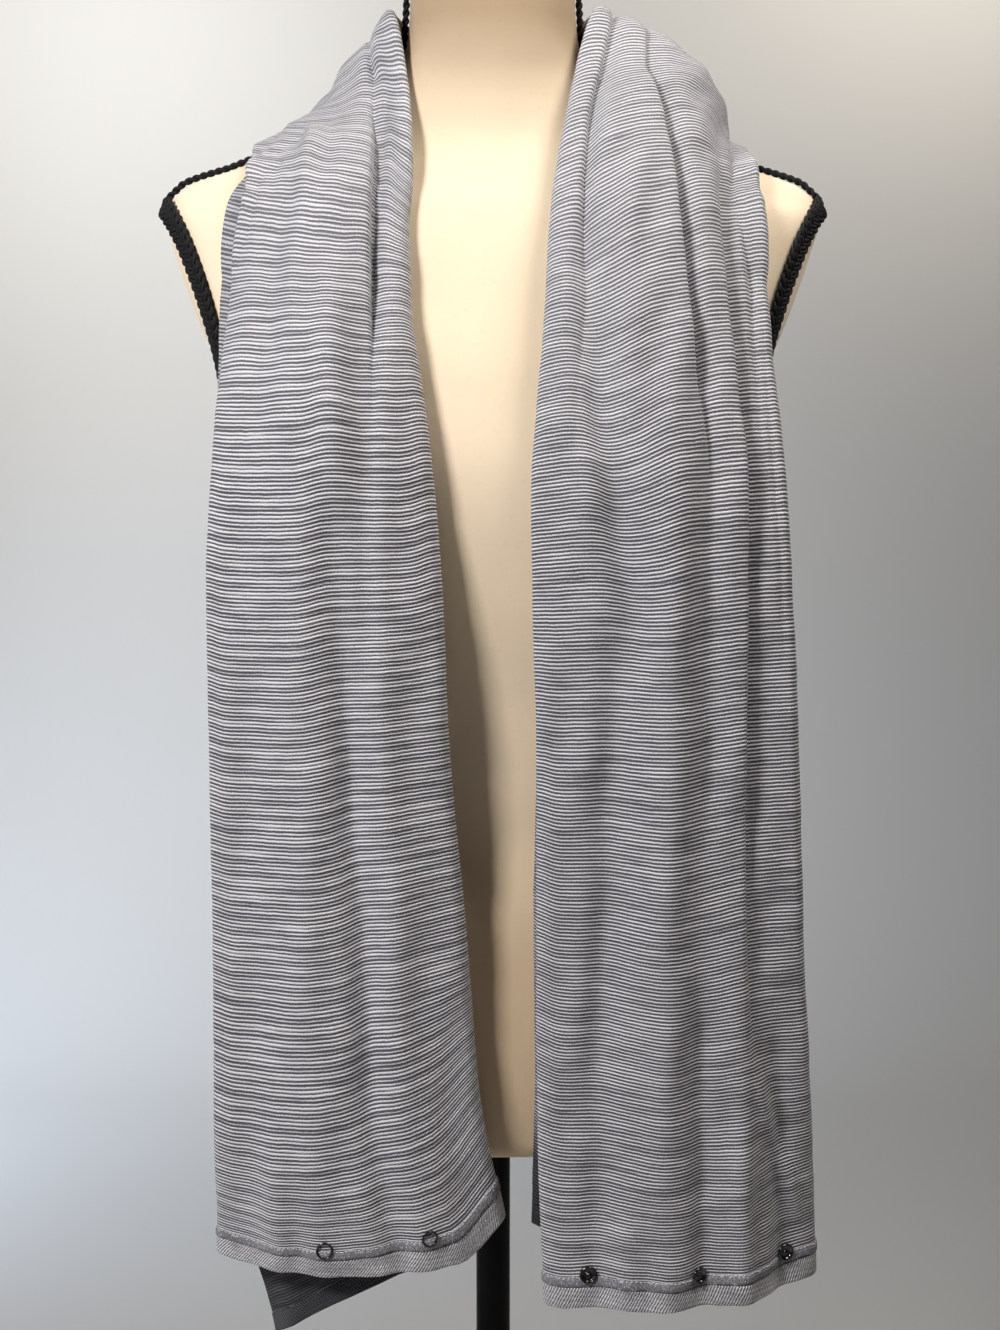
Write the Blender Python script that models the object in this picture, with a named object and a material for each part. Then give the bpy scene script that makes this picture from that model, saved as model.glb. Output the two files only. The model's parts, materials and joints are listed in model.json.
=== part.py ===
"""A striped jersey scarf with snapped ends, hung round the neck of a limbless dress form on a round stand.

Millimetres in the tables, metres in the scene. +Z up, the form faces -Y, the floor is Z = 0.
"""

import math

import bpy
import numpy as np
from mathutils import Matrix, Vector

MM = 0.001
GAP = 0.3  # between pieces that meet

# Cloth and its sewn ends
CLOTH = 1.2
BAND_WALL = 2.0
BAND = 13.0  # height of the hem band
STRIP = 5.8  # height of the stitched seam strip above it
STRIP_WALL = 0.6
SNAP_ABOVE_HEM = 20.3
SNAP_SEAT = 0.6  # of a flat snap from the curved strip under it
SNAP_SIDES = 14
SNAP_REACH = 4.5  # either side of a snap's centre, where its tilt is taken
# Snaps, as (radius, height) pairs up the outside, over the top and down the well
RING_SNAP = ((3.5, 0.1), (4.6, 0.0), (4.8, 0.55), (4.15, 1.1), (3.4, 0.66))
SOCKET_SNAP = ((4.2, 0.0), (5.0, 0.5), (4.7, 1.3), (3.6, 1.5), (2.2, 0.7), (1.0, 0.6), (0.7, 1.2))
LEFT_SNAPS = (43.0, 103.0)  # across the front panel, from its inner fold
LEFT_BACK_SNAPS = (23.0, 89.0)  # across the back flap, from the same fold
RIGHT_SNAPS = (21.5, 87.0, 149.0)
RIGHT_BACK_SNAPS = (30.0, 96.0)  # across the back flap, from the outer fold

# Stand
COLLAR_TOP = 52.0
POLE_RADIUS = 10.5
# Base, as (radius, height) pairs from the underside to the collar's top
BASE_PROFILE = (
    (170.0, 0.0),
    (172.0, 2.0),
    (172.0, 7.0),
    (170.0, 9.0),
    (60.0, 16.0),
    (27.0, 18.0),
    (21.0, 24.0),
    (21.0, 50.0),
    (19.0, COLLAR_TOP),
)
BASE_SIDES = 48
POLE_SIDES = 24

# Trim on the form
CORD_RADIUS = 2.0
BRAID_RADIUS = 4.4
TRIM_SEAT = 0.7  # of trim from the smooth torso, whose facets stand a little proud
ARMHOLE = dict(x=176.0, z=1290.0, high=61.0, deep=47.0, lean=0.30)
ARMHOLE_POINTS = 26
CORD_HEIGHTS = (
    1360.0, 1366.0, 1371.0, 1376.0, 1384.0, 1390.5, 1397.0, 1403.5, 1410.0,
    1416.5, 1423.0, 1429.5, 1436.0, 1446.0, 1464.0, 1482.0, 1500.0,
)

# Torso: a row for each ring, from the cut bottom to the top of the neck, whose columns are
# z, half width, depth in front, depth behind and the power of its rounded outline
FORM_ROWS = (
    (798.0, 146, 87, 106, 2.2),
    (806.0, 154, 92, 112, 2.2),
    (840.0, 159, 97, 118, 2.2),
    (880.0, 160, 98, 120, 2.2),
    (930.0, 148, 95, 112, 2.2),
    (990.0, 124, 84, 92, 2.2),
    (1050.0, 126, 86, 88, 2.2),
    (1120.0, 140, 97, 94, 2.2),
    (1190.0, 151, 105, 102, 2.2),
    (1240.0, 160, 98, 106, 2.2),
    (1290.0, 179, 84, 104, 2.2),
    (1325.0, 191, 74, 99, 2.1),
    (1345.0, 196, 67, 94, 1.9),
    (1354.0, 194, 63, 91, 1.7),
    (1364.0, 184, 59, 88, 1.6),
    (1376.0, 151, 55, 84, 1.5),
    (1388.0, 124, 52, 80, 1.5),
    (1401.0, 99, 50, 76, 1.55),
    (1413.0, 80, 48, 71, 1.65),
    (1426.0, 63, 47, 66, 1.8),
    (1440.0, 53, 47, 60, 2.0),
    (1456.0, 50, 47, 56, 2.0),
    (1478.0, 49, 46, 54, 2.0),
    (1504.0, 49, 46, 54, 2.0),
)
FORM_SIDES = 36

# Scarf: a row for each section across its width, from one hem over the neck to the other.
# in_* and out_* are the ends of the front panel: its fold beside the neck and its outer fold.
# bow lifts the panel's middle and sag lets it down towards the hem. in_flap and out_flap are
# the widths turned under at those folds, and in_gap and out_gap how far behind the panel they
# lie. in_slip and out_slip move a flap's free edge along the scarf. crease_* are shares of the
# panel's width, and deep_* how deep those creases are. pleat is the share where the overlapping
# fold lies, and fold how far it is formed, from 0 to 1.
SCARF_COLUMNS = (
    "in_x", "in_y", "in_z", "out_x", "out_y", "out_z", "bow", "sag",
    "in_flap", "in_gap", "in_slip", "out_flap", "out_gap", "out_slip",
    "crease_a", "deep_a", "crease_b", "deep_b", "pleat", "fold",
)
SCARF_ROWS = (
    (8, -98, 773, -156, -113, 755, 24, 9, 138, 12, -46, 96, 5.5, 0, 0.36, 0.5, 0.60, 1.0, 0.80, 0.0),
    (-7, -108, 836, -156, -115, 818, 20, 8, 134, 12, -42, 96, 5.5, 0, 0.36, 1.0, 0.60, 2.0, 0.80, 0.0),
    (-15, -116, 938, -155, -116, 926, 16, 5, 128, 12, -32, 92, 5.5, 0, 0.35, 1.5, 0.60, 3.0, 0.80, 0.0),
    (-24, -118, 1038, -156, -116, 1032, 14, 2, 126, 12, -20, 88, 5.5, 0, 0.33, 2.0, 0.60, 2.5, 0.80, 0.0),
    (-28, -120, 1126, -157, -114, 1126, 14, 1, 126, 12, -10, 84, 5.5, 0, 0.30, 2.5, 0.60, 2.0, 0.80, 0.0),
    (-34, -120, 1194, -155, -104, 1203, 18, 0, 122, 11, -4, 78, 5.5, 0, 0.27, 3.0, 0.60, 1.5, 0.80, 0.0),
    (-41, -112, 1243, -152, -85, 1259, 20, 0, 117, 11, 0, 70, 5.5, 0, 0.23, 5.0, 0.60, 1.0, 0.80, 0.0),
    (-47, -98, 1285, -148, -60, 1310, 19, 0, 119, 10, 0, 64, 5.0, 0, 0.21, 8.0, 0.60, 0.8, 0.80, 0.0),
    (-48, -84, 1323, -141, -44, 1352, 17, 0, 118, 8, 0, 60, 4.5, 0, 0.24, 10.0, 0.60, 0.5, 0.80, 0.0),
    (-46, -66, 1365, -143, 2, 1391, 16, 0, 88, 6.5, 0, 60, 3.8, 0, 0.27, 10.0, 0.60, 0.5, 0.80, 0.0),
    (-50, -42, 1410, -139, 42, 1380, 19, 0, 76, 6.5, 0, 58, 4.0, 0, 0.27, 9.0, 0.60, 1.5, 0.80, 0.0),
    (-60, -4, 1461, -112, 72, 1380, 16, 0, 60, 8, 0, 50, 5.5, 0, 0.28, 7.0, 0.60, 2.5, 0.80, 0.0),
    (-50, 43, 1469, -62, 94, 1382, 8, 0, 48, 7, 0, 44, 6.5, 0, 0.26, 4.0, 0.58, 3.0, 0.80, 0.0),
    (0, 64, 1471, 0, 104, 1384, 8, 0, 46, 7, 0, 44, 7.0, 0, 0.22, 4.0, 0.54, 3.0, 0.80, 0.0),
    (50, 43, 1470, 64, 96, 1386, 13, 0, 46, 6.5, 0, 46, 7.5, 0, 0.16, 5.0, 0.46, 4.0, 0.80, 0.0),
    (62, -4, 1463, 118, 76, 1384, 29, 0, 54, 5.5, 0, 58, 9.5, 0, 0.12, 7.0, 0.40, 9.0, 0.80, 0.0),
    (50, -42, 1421, 150, 44, 1382, 44, 0, 72, 5.5, 0, 84, 11, 0, 0.12, 9.0, 0.46, 13.0, 0.79, 0.0),
    (40, -66, 1379, 158, 2, 1383, 38, 0, 88, 5.5, 0, 104, 12, 0, 0.13, 8.0, 0.54, 12.0, 0.76, 0.05),
    (33, -86, 1331, 159, -28, 1355, 28, 0, 98, 5.5, 0, 118, 12, 0, 0.13, 5.0, 0.58, 12.0, 0.73, 0.3),
    (30, -102, 1285, 160, -55, 1305, 22, 0, 102, 5.5, 0, 128, 12, 0, 0.13, 2.5, 0.61, 10.0, 0.72, 0.7),
    (26, -114, 1235, 160, -78, 1249, 20, 0, 104, 5.5, 0, 132, 12, -2, 0.14, 1.5, 0.65, 7.0, 0.77, 1.0),
    (22, -122, 1180, 164, -96, 1192, 19, 0, 106, 5.5, 0, 138, 12, -5, 0.15, 1.0, 0.68, 3.0, 0.80, 1.0),
    (23, -124, 1110, 168, -104, 1117, 17, 0, 106, 5.5, 0, 144, 12, -10, 0.16, 1.0, 0.65, 1.0, 0.78, 0.95),
    (25, -124, 1022, 172, -106, 1028, 16, 0, 106, 5.5, 0, 147, 12, -20, 0.18, 1.0, 0.58, 1.5, 0.75, 0.8),
    (25, -124, 923, 176, -104, 926, 18, 0, 108, 5.5, 0, 152, 12, -30, 0.20, 1.0, 0.52, 2.0, 0.73, 0.45),
    (26, -124, 816, 183, -98, 816, 22, 0, 110, 5.5, 0, 158, 12, -38, 0.20, 1.0, 0.48, 2.0, 0.72, 0.1),
    (30, -122, 730, 187, -92, 730, 26, 0, 112, 5.5, 0, 164, 12, -44, 0.20, 0.5, 0.45, 1.0, 0.72, 0.0),
)
CREASE_REACH = 6.0  # from a crease's bottom to its shoulders
CREASE_WIDTH = 5.1  # of the crease's soft trough
PLEAT_OVERLAP = 15.0
PLEAT_STEP = 10.0
PLEAT_SETBACK = 22.0  # over which the flap behind the pleat moves back to make room
PLEAT_ROOM = 1.15  # of that room to the pleat's step
# The pleat's points at full fold: how far past its edge, and how many steps behind it
PLEAT_POINTS = (
    (0.0, 0.0),
    (2.0, 0.30),
    (0.5, 0.52),
    (-PLEAT_OVERLAP, 0.60),
    (-PLEAT_OVERLAP - 2.0, 0.82),
    (-PLEAT_OVERLAP, 1.0),
    (2.0, 1.05),
)
PLEAT_FLAT = 10  # points the pleat's stretch is shared into where it lies flat
SLIP_POWER = 2.2
LEAST_CLEARANCE = 1.7  # of the rearmost layer's middle from the form
LAYER_CLEARANCE = 0.95  # share of a layer's height over the rearmost that it keeps
CORD_REACH = 23.0  # in front of the shoulder's ridge and behind it
CORD_CLEARANCE = 9.2  # of the rearmost layer's middle where the shoulder cord runs beneath it
CORD_FROM = 1330.0  # the height where that starts
CORD_RISE = 20.0

# Stretches of the scarf between these distances from their own hem
COLLAR_STRETCH = 560.0  # above this the tail turns over the shoulder, in closer sections
NECK_STRETCH = 738.0
TAIL_SECTIONS = 13
SHOULDER_SECTIONS = 12
NECK_SECTIONS = 12
NECK_SEAM = 0.6  # between a tail and the neck stretch, where the cloth turns tightly

# Points of each section: the inner flap, its fold, the front panel, the outer fold, its flap
FLAP_COLUMNS = 9
ARC_COLUMNS = 3
PANEL_COLUMNS = 20
LEAST_STEP = 1.2  # between a flap's points
NEAR = 2.0  # between the points that give the cloth's slope along its length
ROWS_NEAR = 0.35  # the same for the panel's direction, in rows of the table


def smooth_columns(table, at):
    """Every column of the table at the positions `at` of its first column, without overshoot."""
    table = np.asarray(table, float)
    knots, values = table[:, 0], table[:, 1:]
    steps = np.diff(knots)[:, None]
    slopes = np.diff(values, axis=0) / steps
    tangents = np.zeros_like(values)
    same_way = slopes[:-1] * slopes[1:] > 0
    mean = 2 * slopes[:-1] * slopes[1:] / np.where(same_way, slopes[:-1] + slopes[1:], 1)
    tangents[1:-1] = np.where(same_way, mean, 0)
    tangents[0], tangents[-1] = slopes[0], slopes[-1]
    at = np.clip(np.asarray(at, float), knots[0], knots[-1])
    i = np.clip(np.searchsorted(knots, at, side="right") - 1, 0, len(knots) - 2)
    h = steps[i]
    t = ((at - knots[i])[..., None]) / h
    return (
        (2 * t**3 - 3 * t**2 + 1) * values[i]
        + (t**3 - 2 * t**2 + t) * h * tangents[i]
        + (3 * t**2 - 2 * t**3) * values[i + 1]
        + (t**3 - t**2) * h * tangents[i + 1]
    )


def form_field(points):
    """Below 0 inside the torso, 0 on its surface, above 0 outside."""
    half, front, back, power = np.moveaxis(smooth_columns(FORM_ROWS, points[..., 2]), -1, 0)
    deep = np.where(points[..., 1] < 0, front, back)
    across = np.abs(points[..., 0]) / half
    along = np.abs(points[..., 1]) / deep
    return (across**power + along**power + 1e-12) ** (1 / power) - 1


def off_the_form(points, clearance, exactly=False):
    """Moves points out until they are this far from the torso, or on to that distance exactly."""
    points = points.copy()
    for _ in range(6):
        value = form_field(points)
        slope = np.stack(
            [form_field(points + step) - form_field(points - step) for step in np.eye(3) / 2],
            axis=-1,
        )
        steep = np.linalg.norm(slope, axis=-1)
        short = clearance - value / steep
        short = short if exactly else np.maximum(short, 0)
        points += slope / steep[..., None] * short[..., None]
    return points


def unit(vectors):
    return vectors / np.linalg.norm(vectors, axis=-1, keepdims=True)


def scarf_rows(stations):
    table = np.column_stack([np.arange(len(SCARF_ROWS)), np.asarray(SCARF_ROWS, float)])
    return dict(zip(SCARF_COLUMNS, np.moveaxis(smooth_columns(table, stations), -1, 0)))


def panel_ends(stations):
    row = scarf_rows(stations)
    inner = np.stack([row["in_x"], row["in_y"], row["in_z"]], axis=-1)
    outer = np.stack([row["out_x"], row["out_y"], row["out_z"]], axis=-1)
    return inner, outer


def along_the_scarf():
    """Stations, and the length of cloth from the first hem to each of them."""
    stations = np.linspace(0, len(SCARF_ROWS) - 1, 521)
    inner, outer = panel_ends(stations)
    steps = sum(
        np.linalg.norm(np.diff(inner + (outer - inner) * share, axis=0), axis=1) / 3
        for share in (0.1, 0.5, 0.9)
    )
    return stations, np.concatenate([[0], np.cumsum(steps)])


STATIONS, LENGTHS = along_the_scarf()
SCARF_LENGTH = LENGTHS[-1]


def fold_arc(turns):
    """Points round a half circle from the panel, in radii: (in from the panel's end, behind it)."""
    angles = [math.pi * turn / (turns + 1) for turn in range(1, turns + 1)]
    return [(math.sin(angle) - 1, math.cos(angle) - 1) for angle in angles]


def section_columns(row, width):
    """The section's points: across the panel, behind it, share of each flap's slip, and the way it faces."""
    reach = CREASE_REACH
    in_round, out_round = row["in_gap"] / 2, row["out_gap"] / 2
    crease_a, crease_b = row["crease_a"] * width, row["crease_b"] * width
    pleat, fold = row["pleat"] * width, row["fold"]
    creases = [crease_a - reach, crease_a, crease_a + reach]
    creases += [(crease_a + crease_b) / 2, crease_b - reach, crease_b, crease_b + reach]
    across, behind, in_slip, out_slip = [], [], [], []

    def add(a, b, slip_in=0.0, slip_out=0.0):
        zero = np.zeros_like(width)
        across.append(a + zero)
        behind.append(b + zero)
        in_slip.append(slip_in + zero)
        out_slip.append(slip_out + zero)

    free = row["in_flap"]
    for order, target in enumerate([free, *reversed(creases), in_round]):
        a = np.maximum(np.minimum(target, free - LEAST_STEP * order), in_round)
        add(a, -row["in_gap"], slip_in=(a - in_round) / (free - in_round))
    for out, back in reversed(fold_arc(ARC_COLUMNS)):
        add(-out * in_round, back * in_round)

    add(in_round, 0.0)
    for a in creases[:3]:
        add(a, 0.0)
    for share in (0.25, 0.5, 0.75):
        add(creases[2] + (creases[4] - creases[2]) * share, 0.0)
    for a in creases[4:]:
        add(a, 0.0)
    for order, (past, steps) in enumerate(PLEAT_POINTS):
        flat = pleat + order * (width - out_round - pleat) / PLEAT_FLAT
        add(flat + (pleat + past - flat) * fold, -steps * PLEAT_STEP * fold)
    last = across[-1]
    for share in (0.4, 0.75):
        add(last + (width - out_round - last) * share, -PLEAT_STEP * fold * (1 - share) ** 0.8)
    add(width - out_round, 0.0)

    for out, back in fold_arc(ARC_COLUMNS):
        add(width + out * out_round, back * out_round)
    free, fold_end = width - row["out_flap"], width - out_round
    for order, target in enumerate([fold_end, *reversed(creases), free]):
        left = FLAP_COLUMNS - 1 - order
        a = np.minimum(np.maximum(target, free + LEAST_STEP * left), fold_end)
        add(a, -row["out_gap"], slip_out=(fold_end - a) / (fold_end - free))
    return tuple(np.stack(column, axis=-1) for column in (across, behind, in_slip, out_slip))


def drape(lengths):
    """Points of the cloth's middle: a row across its whole width for each length from the first hem."""
    stations = np.interp(lengths, LENGTHS, STATIONS)
    row = scarf_rows(stations)
    inner, outer = panel_ends(stations)
    before = panel_ends(np.maximum(stations - ROWS_NEAR, 0))
    after = panel_ends(np.minimum(stations + ROWS_NEAR, len(SCARF_ROWS) - 1))
    forward = unit(sum(after) - sum(before))
    width = np.linalg.norm(outer - inner, axis=-1)
    sideways = unit(outer - inner)
    facing = unit(np.cross(forward, sideways))

    across, behind, in_slip, out_slip = section_columns(row, width)
    back = np.maximum(row["in_gap"], row["out_gap"])[:, None]
    height = behind + back
    wide = width[:, None]
    share = np.clip(across / wide, 0, 1)
    lift = 4 * row["bow"][:, None] * share * (1 - share)
    for crease, deep in (("crease_a", "deep_a"), ("crease_b", "deep_b")):
        away = (across - row[crease][:, None] * wide) / CREASE_WIDTH
        lift -= row[deep][:, None] * np.exp(-(away**2))
    pleat = row["pleat"][:, None] * wide
    under = np.zeros_like(across, bool)
    under[:, : FLAP_COLUMNS + 1] = True
    under[:, -FLAP_COLUMNS - 1 :] = True
    inside = np.clip((pleat - PLEAT_OVERLAP - across) / PLEAT_SETBACK, 0, 1)
    outside = np.clip((across - pleat) / (wide - pleat), 0, 1)
    room = PLEAT_STEP * PLEAT_ROOM * row["fold"][:, None]
    lift -= under * room * (1 - inside) * (1 - outside)
    hemward = np.where(stations < len(SCARF_ROWS) / 2, -1, 1)[:, None]
    slip = hemward * row["sag"][:, None] * 4 * share * (1 - share)
    slip += in_slip**SLIP_POWER * row["in_slip"][:, None]
    slip += out_slip**SLIP_POWER * row["out_slip"][:, None]

    points = (
        inner[:, None]
        + sideways[:, None] * across[..., None]
        + facing[:, None] * (behind + lift)[..., None]
        + forward[:, None] * slip[..., None]
    )
    on_cord = np.exp(-((points[..., 1] / CORD_REACH) ** 2))
    on_cord *= np.clip((points[..., 2] - CORD_FROM) / CORD_RISE, 0, 1)
    clearance = LEAST_CLEARANCE + (CORD_CLEARANCE - LEAST_CLEARANCE) * on_cord
    return off_the_form(points, clearance + LAYER_CLEARANCE * height)


def facing_out(grid, lengths):
    """Unit normals of the cloth at these lengths, on the side that is the front panel's face."""
    along = drape(lengths + NEAR) - drape(lengths - NEAR)
    across = np.gradient(grid, axis=1)
    return unit(np.cross(along, across))


def material(name, colour, roughness, metallic=0.0):
    made = bpy.data.materials.new(name)
    made.use_nodes = True
    shader = made.node_tree.nodes["Principled BSDF"]
    shader.inputs["Base Color"].default_value = (*colour, 1)
    shader.inputs["Roughness"].default_value = roughness
    shader.inputs["Metallic"].default_value = metallic
    return made


def add_object(name, points, faces, finish):
    """A mesh object from points in millimetres."""
    mesh = bpy.data.meshes.new(name)
    mesh.from_pydata([tuple(point) for point in np.asarray(points) * MM], [], faces)
    mesh.materials.append(finish)
    mesh.shade_smooth()
    mesh.set_sharp_from_angle(angle=math.radians(50))
    made = bpy.data.objects.new(name, mesh)
    bpy.context.collection.objects.link(made)
    return made


def wall_between(name, front, back, finish):
    """A closed wall between two grids of points that face each other."""
    rows, columns = front.shape[:2]
    count = rows * columns
    at = np.arange(count).reshape(rows, columns)
    faces = []
    for i in range(rows - 1):
        for j in range(columns - 1):
            patch = (at[i, j], at[i + 1, j], at[i + 1, j + 1], at[i, j + 1])
            faces.append(patch)
            faces.append(tuple(corner + count for corner in reversed(patch)))
    edge = [*at[0], *at[1:, -1], *at[-1, -2::-1], *at[-2:0:-1, 0]]
    for a, b in zip(edge, edge[1:] + edge[:1]):
        faces.append((a, b, b + count, a + count))
    faces = [tuple(int(corner) for corner in face) for face in faces]
    points = np.concatenate([front.reshape(-1, 3), back.reshape(-1, 3)])
    return add_object(name, points, faces, finish)


def cloth_wall(name, lengths, thickness, finish, lifted=0.0):
    """A stretch of the scarf as a wall, on the drape itself or lifted off its outer side."""
    lengths = np.asarray(lengths, float)
    middle = drape(lengths)
    out = facing_out(middle, lengths)
    front = middle + out * (lifted + thickness / 2)
    back = middle + out * (lifted - thickness / 2)
    return wall_between(name, front, back, finish)


def ring_of(z, sides):
    half, front, back, power = smooth_columns(FORM_ROWS, np.array([z]))[0]
    points = []
    for side in range(sides):
        angle = 2 * math.pi * side / sides
        c, s = math.cos(angle), math.sin(angle)
        x = half * math.copysign(abs(c) ** (2 / power), c)
        y = (back if s > 0 else front) * math.copysign(abs(s) ** (2 / power), s)
        points.append((x, y, z))
    return points


def make_torso(finish):
    heights = [row[0] for row in FORM_ROWS]
    points = [point for z in heights for point in ring_of(z, FORM_SIDES)]
    n = FORM_SIDES
    faces = []
    for low in range(0, (len(heights) - 1) * n, n):
        for side in range(n):
            after = (side + 1) % n
            faces.append((low + side, low + after, low + n + after, low + n + side))
    faces.append(tuple(reversed(range(n))))
    faces.append(tuple(range((len(heights) - 1) * n, len(heights) * n)))
    return add_object("torso", points, faces, finish)


def tube(name, path, radius, finish, closed=False):
    """A round cord along a path in millimetres."""
    curve = bpy.data.curves.new(name, "CURVE")
    curve.dimensions = "3D"
    curve.bevel_depth = radius * MM
    curve.bevel_resolution = 1
    curve.use_fill_caps = True
    spline = curve.splines.new("POLY")
    spline.points.add(len(path) - 1)
    for point, place in zip(spline.points, path):
        point.co = (*(np.asarray(place) * MM), 1)
    spline.use_cyclic_u = closed
    curve.materials.append(finish)
    made = bpy.data.objects.new(name, curve)
    bpy.context.collection.objects.link(made)
    return made


def make_trim(side, label, finish):
    """The braid round an armhole, and the cord from it along the shoulder and up the neck."""
    lean = ARMHOLE["lean"]
    loop = []
    for step in range(ARMHOLE_POINTS):
        angle = 2 * math.pi * step / ARMHOLE_POINTS
        up = ARMHOLE["high"] * math.sin(angle)
        forward = -ARMHOLE["deep"] * math.cos(angle)
        loop.append((side * (ARMHOLE["x"] + lean * up), forward, ARMHOLE["z"] + up))
    loop = off_the_form(np.array(loop), BRAID_RADIUS + TRIM_SEAT, exactly=True)
    tube(f"armhole_braid_{label}", loop, BRAID_RADIUS, finish, closed=True)

    half = smooth_columns(FORM_ROWS, CORD_HEIGHTS)[:, 0]
    ridge = np.column_stack([side * half, np.zeros_like(half), CORD_HEIGHTS])
    ridge = off_the_form(ridge, CORD_RADIUS + TRIM_SEAT, exactly=True)
    tube(f"shoulder_cord_{label}", ridge, CORD_RADIUS, finish)


def turned(name, profile, sides, finish, hollow=False):
    """A solid turned round Z from (radius, height) pairs, from the lower inside round to the upper inside."""
    points, faces = [], []
    count = len(profile)
    for side in range(sides):
        angle = 2 * math.pi * side / sides
        points += [(r * math.cos(angle), r * math.sin(angle), z) for r, z in profile]
    for side in range(sides):
        here, there = side * count, (side + 1) % sides * count
        for k in range(count if hollow else count - 1):
            after = (k + 1) % count
            faces.append((here + k, there + k, there + after, here + after))
    if not hollow:
        faces.append(tuple(side * count for side in reversed(range(sides))))
        faces.append(tuple(side * count + count - 1 for side in range(sides)))
    return add_object(name, points, faces, finish)


def place_on_panel(made, length, across, column_range, lift):
    """Seats a snap on the cloth's outer side at a length from the first hem and a distance across."""
    lengths = np.array([length])
    grid = drape(lengths)
    out = facing_out(grid, lengths)[0]
    first, last = column_range
    step = 1 if last > first else -1
    columns = np.arange(first, last + step, step)
    line = grid[0, columns]
    run = np.concatenate([[0], np.cumsum(np.linalg.norm(np.diff(line, axis=0), axis=1))])

    def at(distance, values):
        return np.array([np.interp(distance, run, values[:, axis]) for axis in range(3)])

    along = unit(at(across + SNAP_REACH, line) - at(across - SNAP_REACH, line))
    normal = at(across, out[columns])
    normal = unit(normal - along * np.dot(normal, along))
    other = np.cross(normal, along)
    seat = (at(across, line) + normal * lift) * MM
    turn = Matrix((along, other, normal)).transposed().to_4x4()
    made.matrix_world = Matrix.Translation(Vector(seat)) @ turn


def make_snaps(finish):
    lift = CLOTH / 2 + GAP + STRIP_WALL + SNAP_SEAT
    last = 2 * FLAP_COLUMNS + 2 * ARC_COLUMNS + PANEL_COLUMNS - 1
    panel = (FLAP_COLUMNS + ARC_COLUMNS, last - FLAP_COLUMNS - ARC_COLUMNS)
    inner_flap, outer_flap = (FLAP_COLUMNS - 1, 0), (last - FLAP_COLUMNS + 1, last)
    runs = (
        ("left_snap_front", RING_SNAP, True, SNAP_ABOVE_HEM, LEFT_SNAPS, panel),
        ("left_snap_back", RING_SNAP, True, SNAP_ABOVE_HEM, LEFT_BACK_SNAPS, inner_flap),
        ("right_snap_front", SOCKET_SNAP, False, SCARF_LENGTH - SNAP_ABOVE_HEM, RIGHT_SNAPS, panel),
        ("right_snap_back", SOCKET_SNAP, False, SCARF_LENGTH - SNAP_ABOVE_HEM, RIGHT_BACK_SNAPS, outer_flap),
    )
    for name, profile, hollow, length, places, columns in runs:
        for number, across in enumerate(places, 1):
            snap = turned(f"{name}_{number}", profile, SNAP_SIDES, finish, hollow)
            place_on_panel(snap, length, across, columns, lift)


def make_scarf(cloth, band, thread):
    seam = BAND + GAP
    strip_top = seam + STRIP
    hanging = np.linspace(strip_top, COLLAR_STRETCH, TAIL_SECTIONS)
    turning = np.linspace(COLLAR_STRETCH, NECK_STRETCH, SHOULDER_SECTIONS + 1)
    tail = np.concatenate([[seam], hanging, turning[1:]])
    neck = np.linspace(NECK_STRETCH + NECK_SEAM, SCARF_LENGTH - NECK_STRETCH - NECK_SEAM, NECK_SECTIONS)
    cloth_wall("left_tail", tail, CLOTH, cloth)
    cloth_wall("neck_wrap", neck, CLOTH, cloth)
    cloth_wall("right_tail", (SCARF_LENGTH - tail)[::-1], CLOTH, cloth)
    lifted = CLOTH / 2 + GAP + STRIP_WALL / 2
    ends = (("left", 0.0, BAND, seam, strip_top),)
    ends += (("right", *(SCARF_LENGTH - at for at in (BAND, 0.0, strip_top, seam))),)
    for side, low, high, strip_low, strip_high in ends:
        cloth_wall(f"{side}_hem_band", (low, high), BAND_WALL, band)
        cloth_wall(f"{side}_seam_strip", (strip_low, strip_high), STRIP_WALL, thread, lifted)


def make_stand(metal):
    turned("stand_base", BASE_PROFILE, BASE_SIDES, metal)
    low, high = COLLAR_TOP + GAP, FORM_ROWS[0][0] - GAP
    turned("stand_pole", ((POLE_RADIUS, low), (POLE_RADIUS, high)), POLE_SIDES, metal)


def main():
    for old in list(bpy.data.objects):
        bpy.data.objects.remove(old, do_unlink=True)
    jersey = material("striped jersey", (0.42, 0.42, 0.46), 0.9)
    binding = material("hem binding", (0.34, 0.34, 0.38), 0.9)
    thread = material("seam stitching", (0.48, 0.48, 0.51), 0.9)
    gunmetal = material("gunmetal snap", (0.05, 0.05, 0.055), 0.35, 1.0)
    cover = material("cream form cover", (0.80, 0.70, 0.54), 0.85)
    braid = material("black braid", (0.01, 0.01, 0.011), 0.8)
    metal = material("black stand metal", (0.012, 0.012, 0.013), 0.4, 0.6)
    make_torso(cover)
    make_trim(-1, "left", braid)
    make_trim(1, "right", braid)
    make_stand(metal)
    make_scarf(jersey, binding, thread)
    make_snaps(gunmetal)


main()
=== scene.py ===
"""Looks of a fine-striped jersey scarf with snapped ends, draped round a cream dress form.

Metres in the scene, millimetres in the cloth's own tables. The form faces -Y and the floor is Z = 0.
"""

import json
import math

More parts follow.
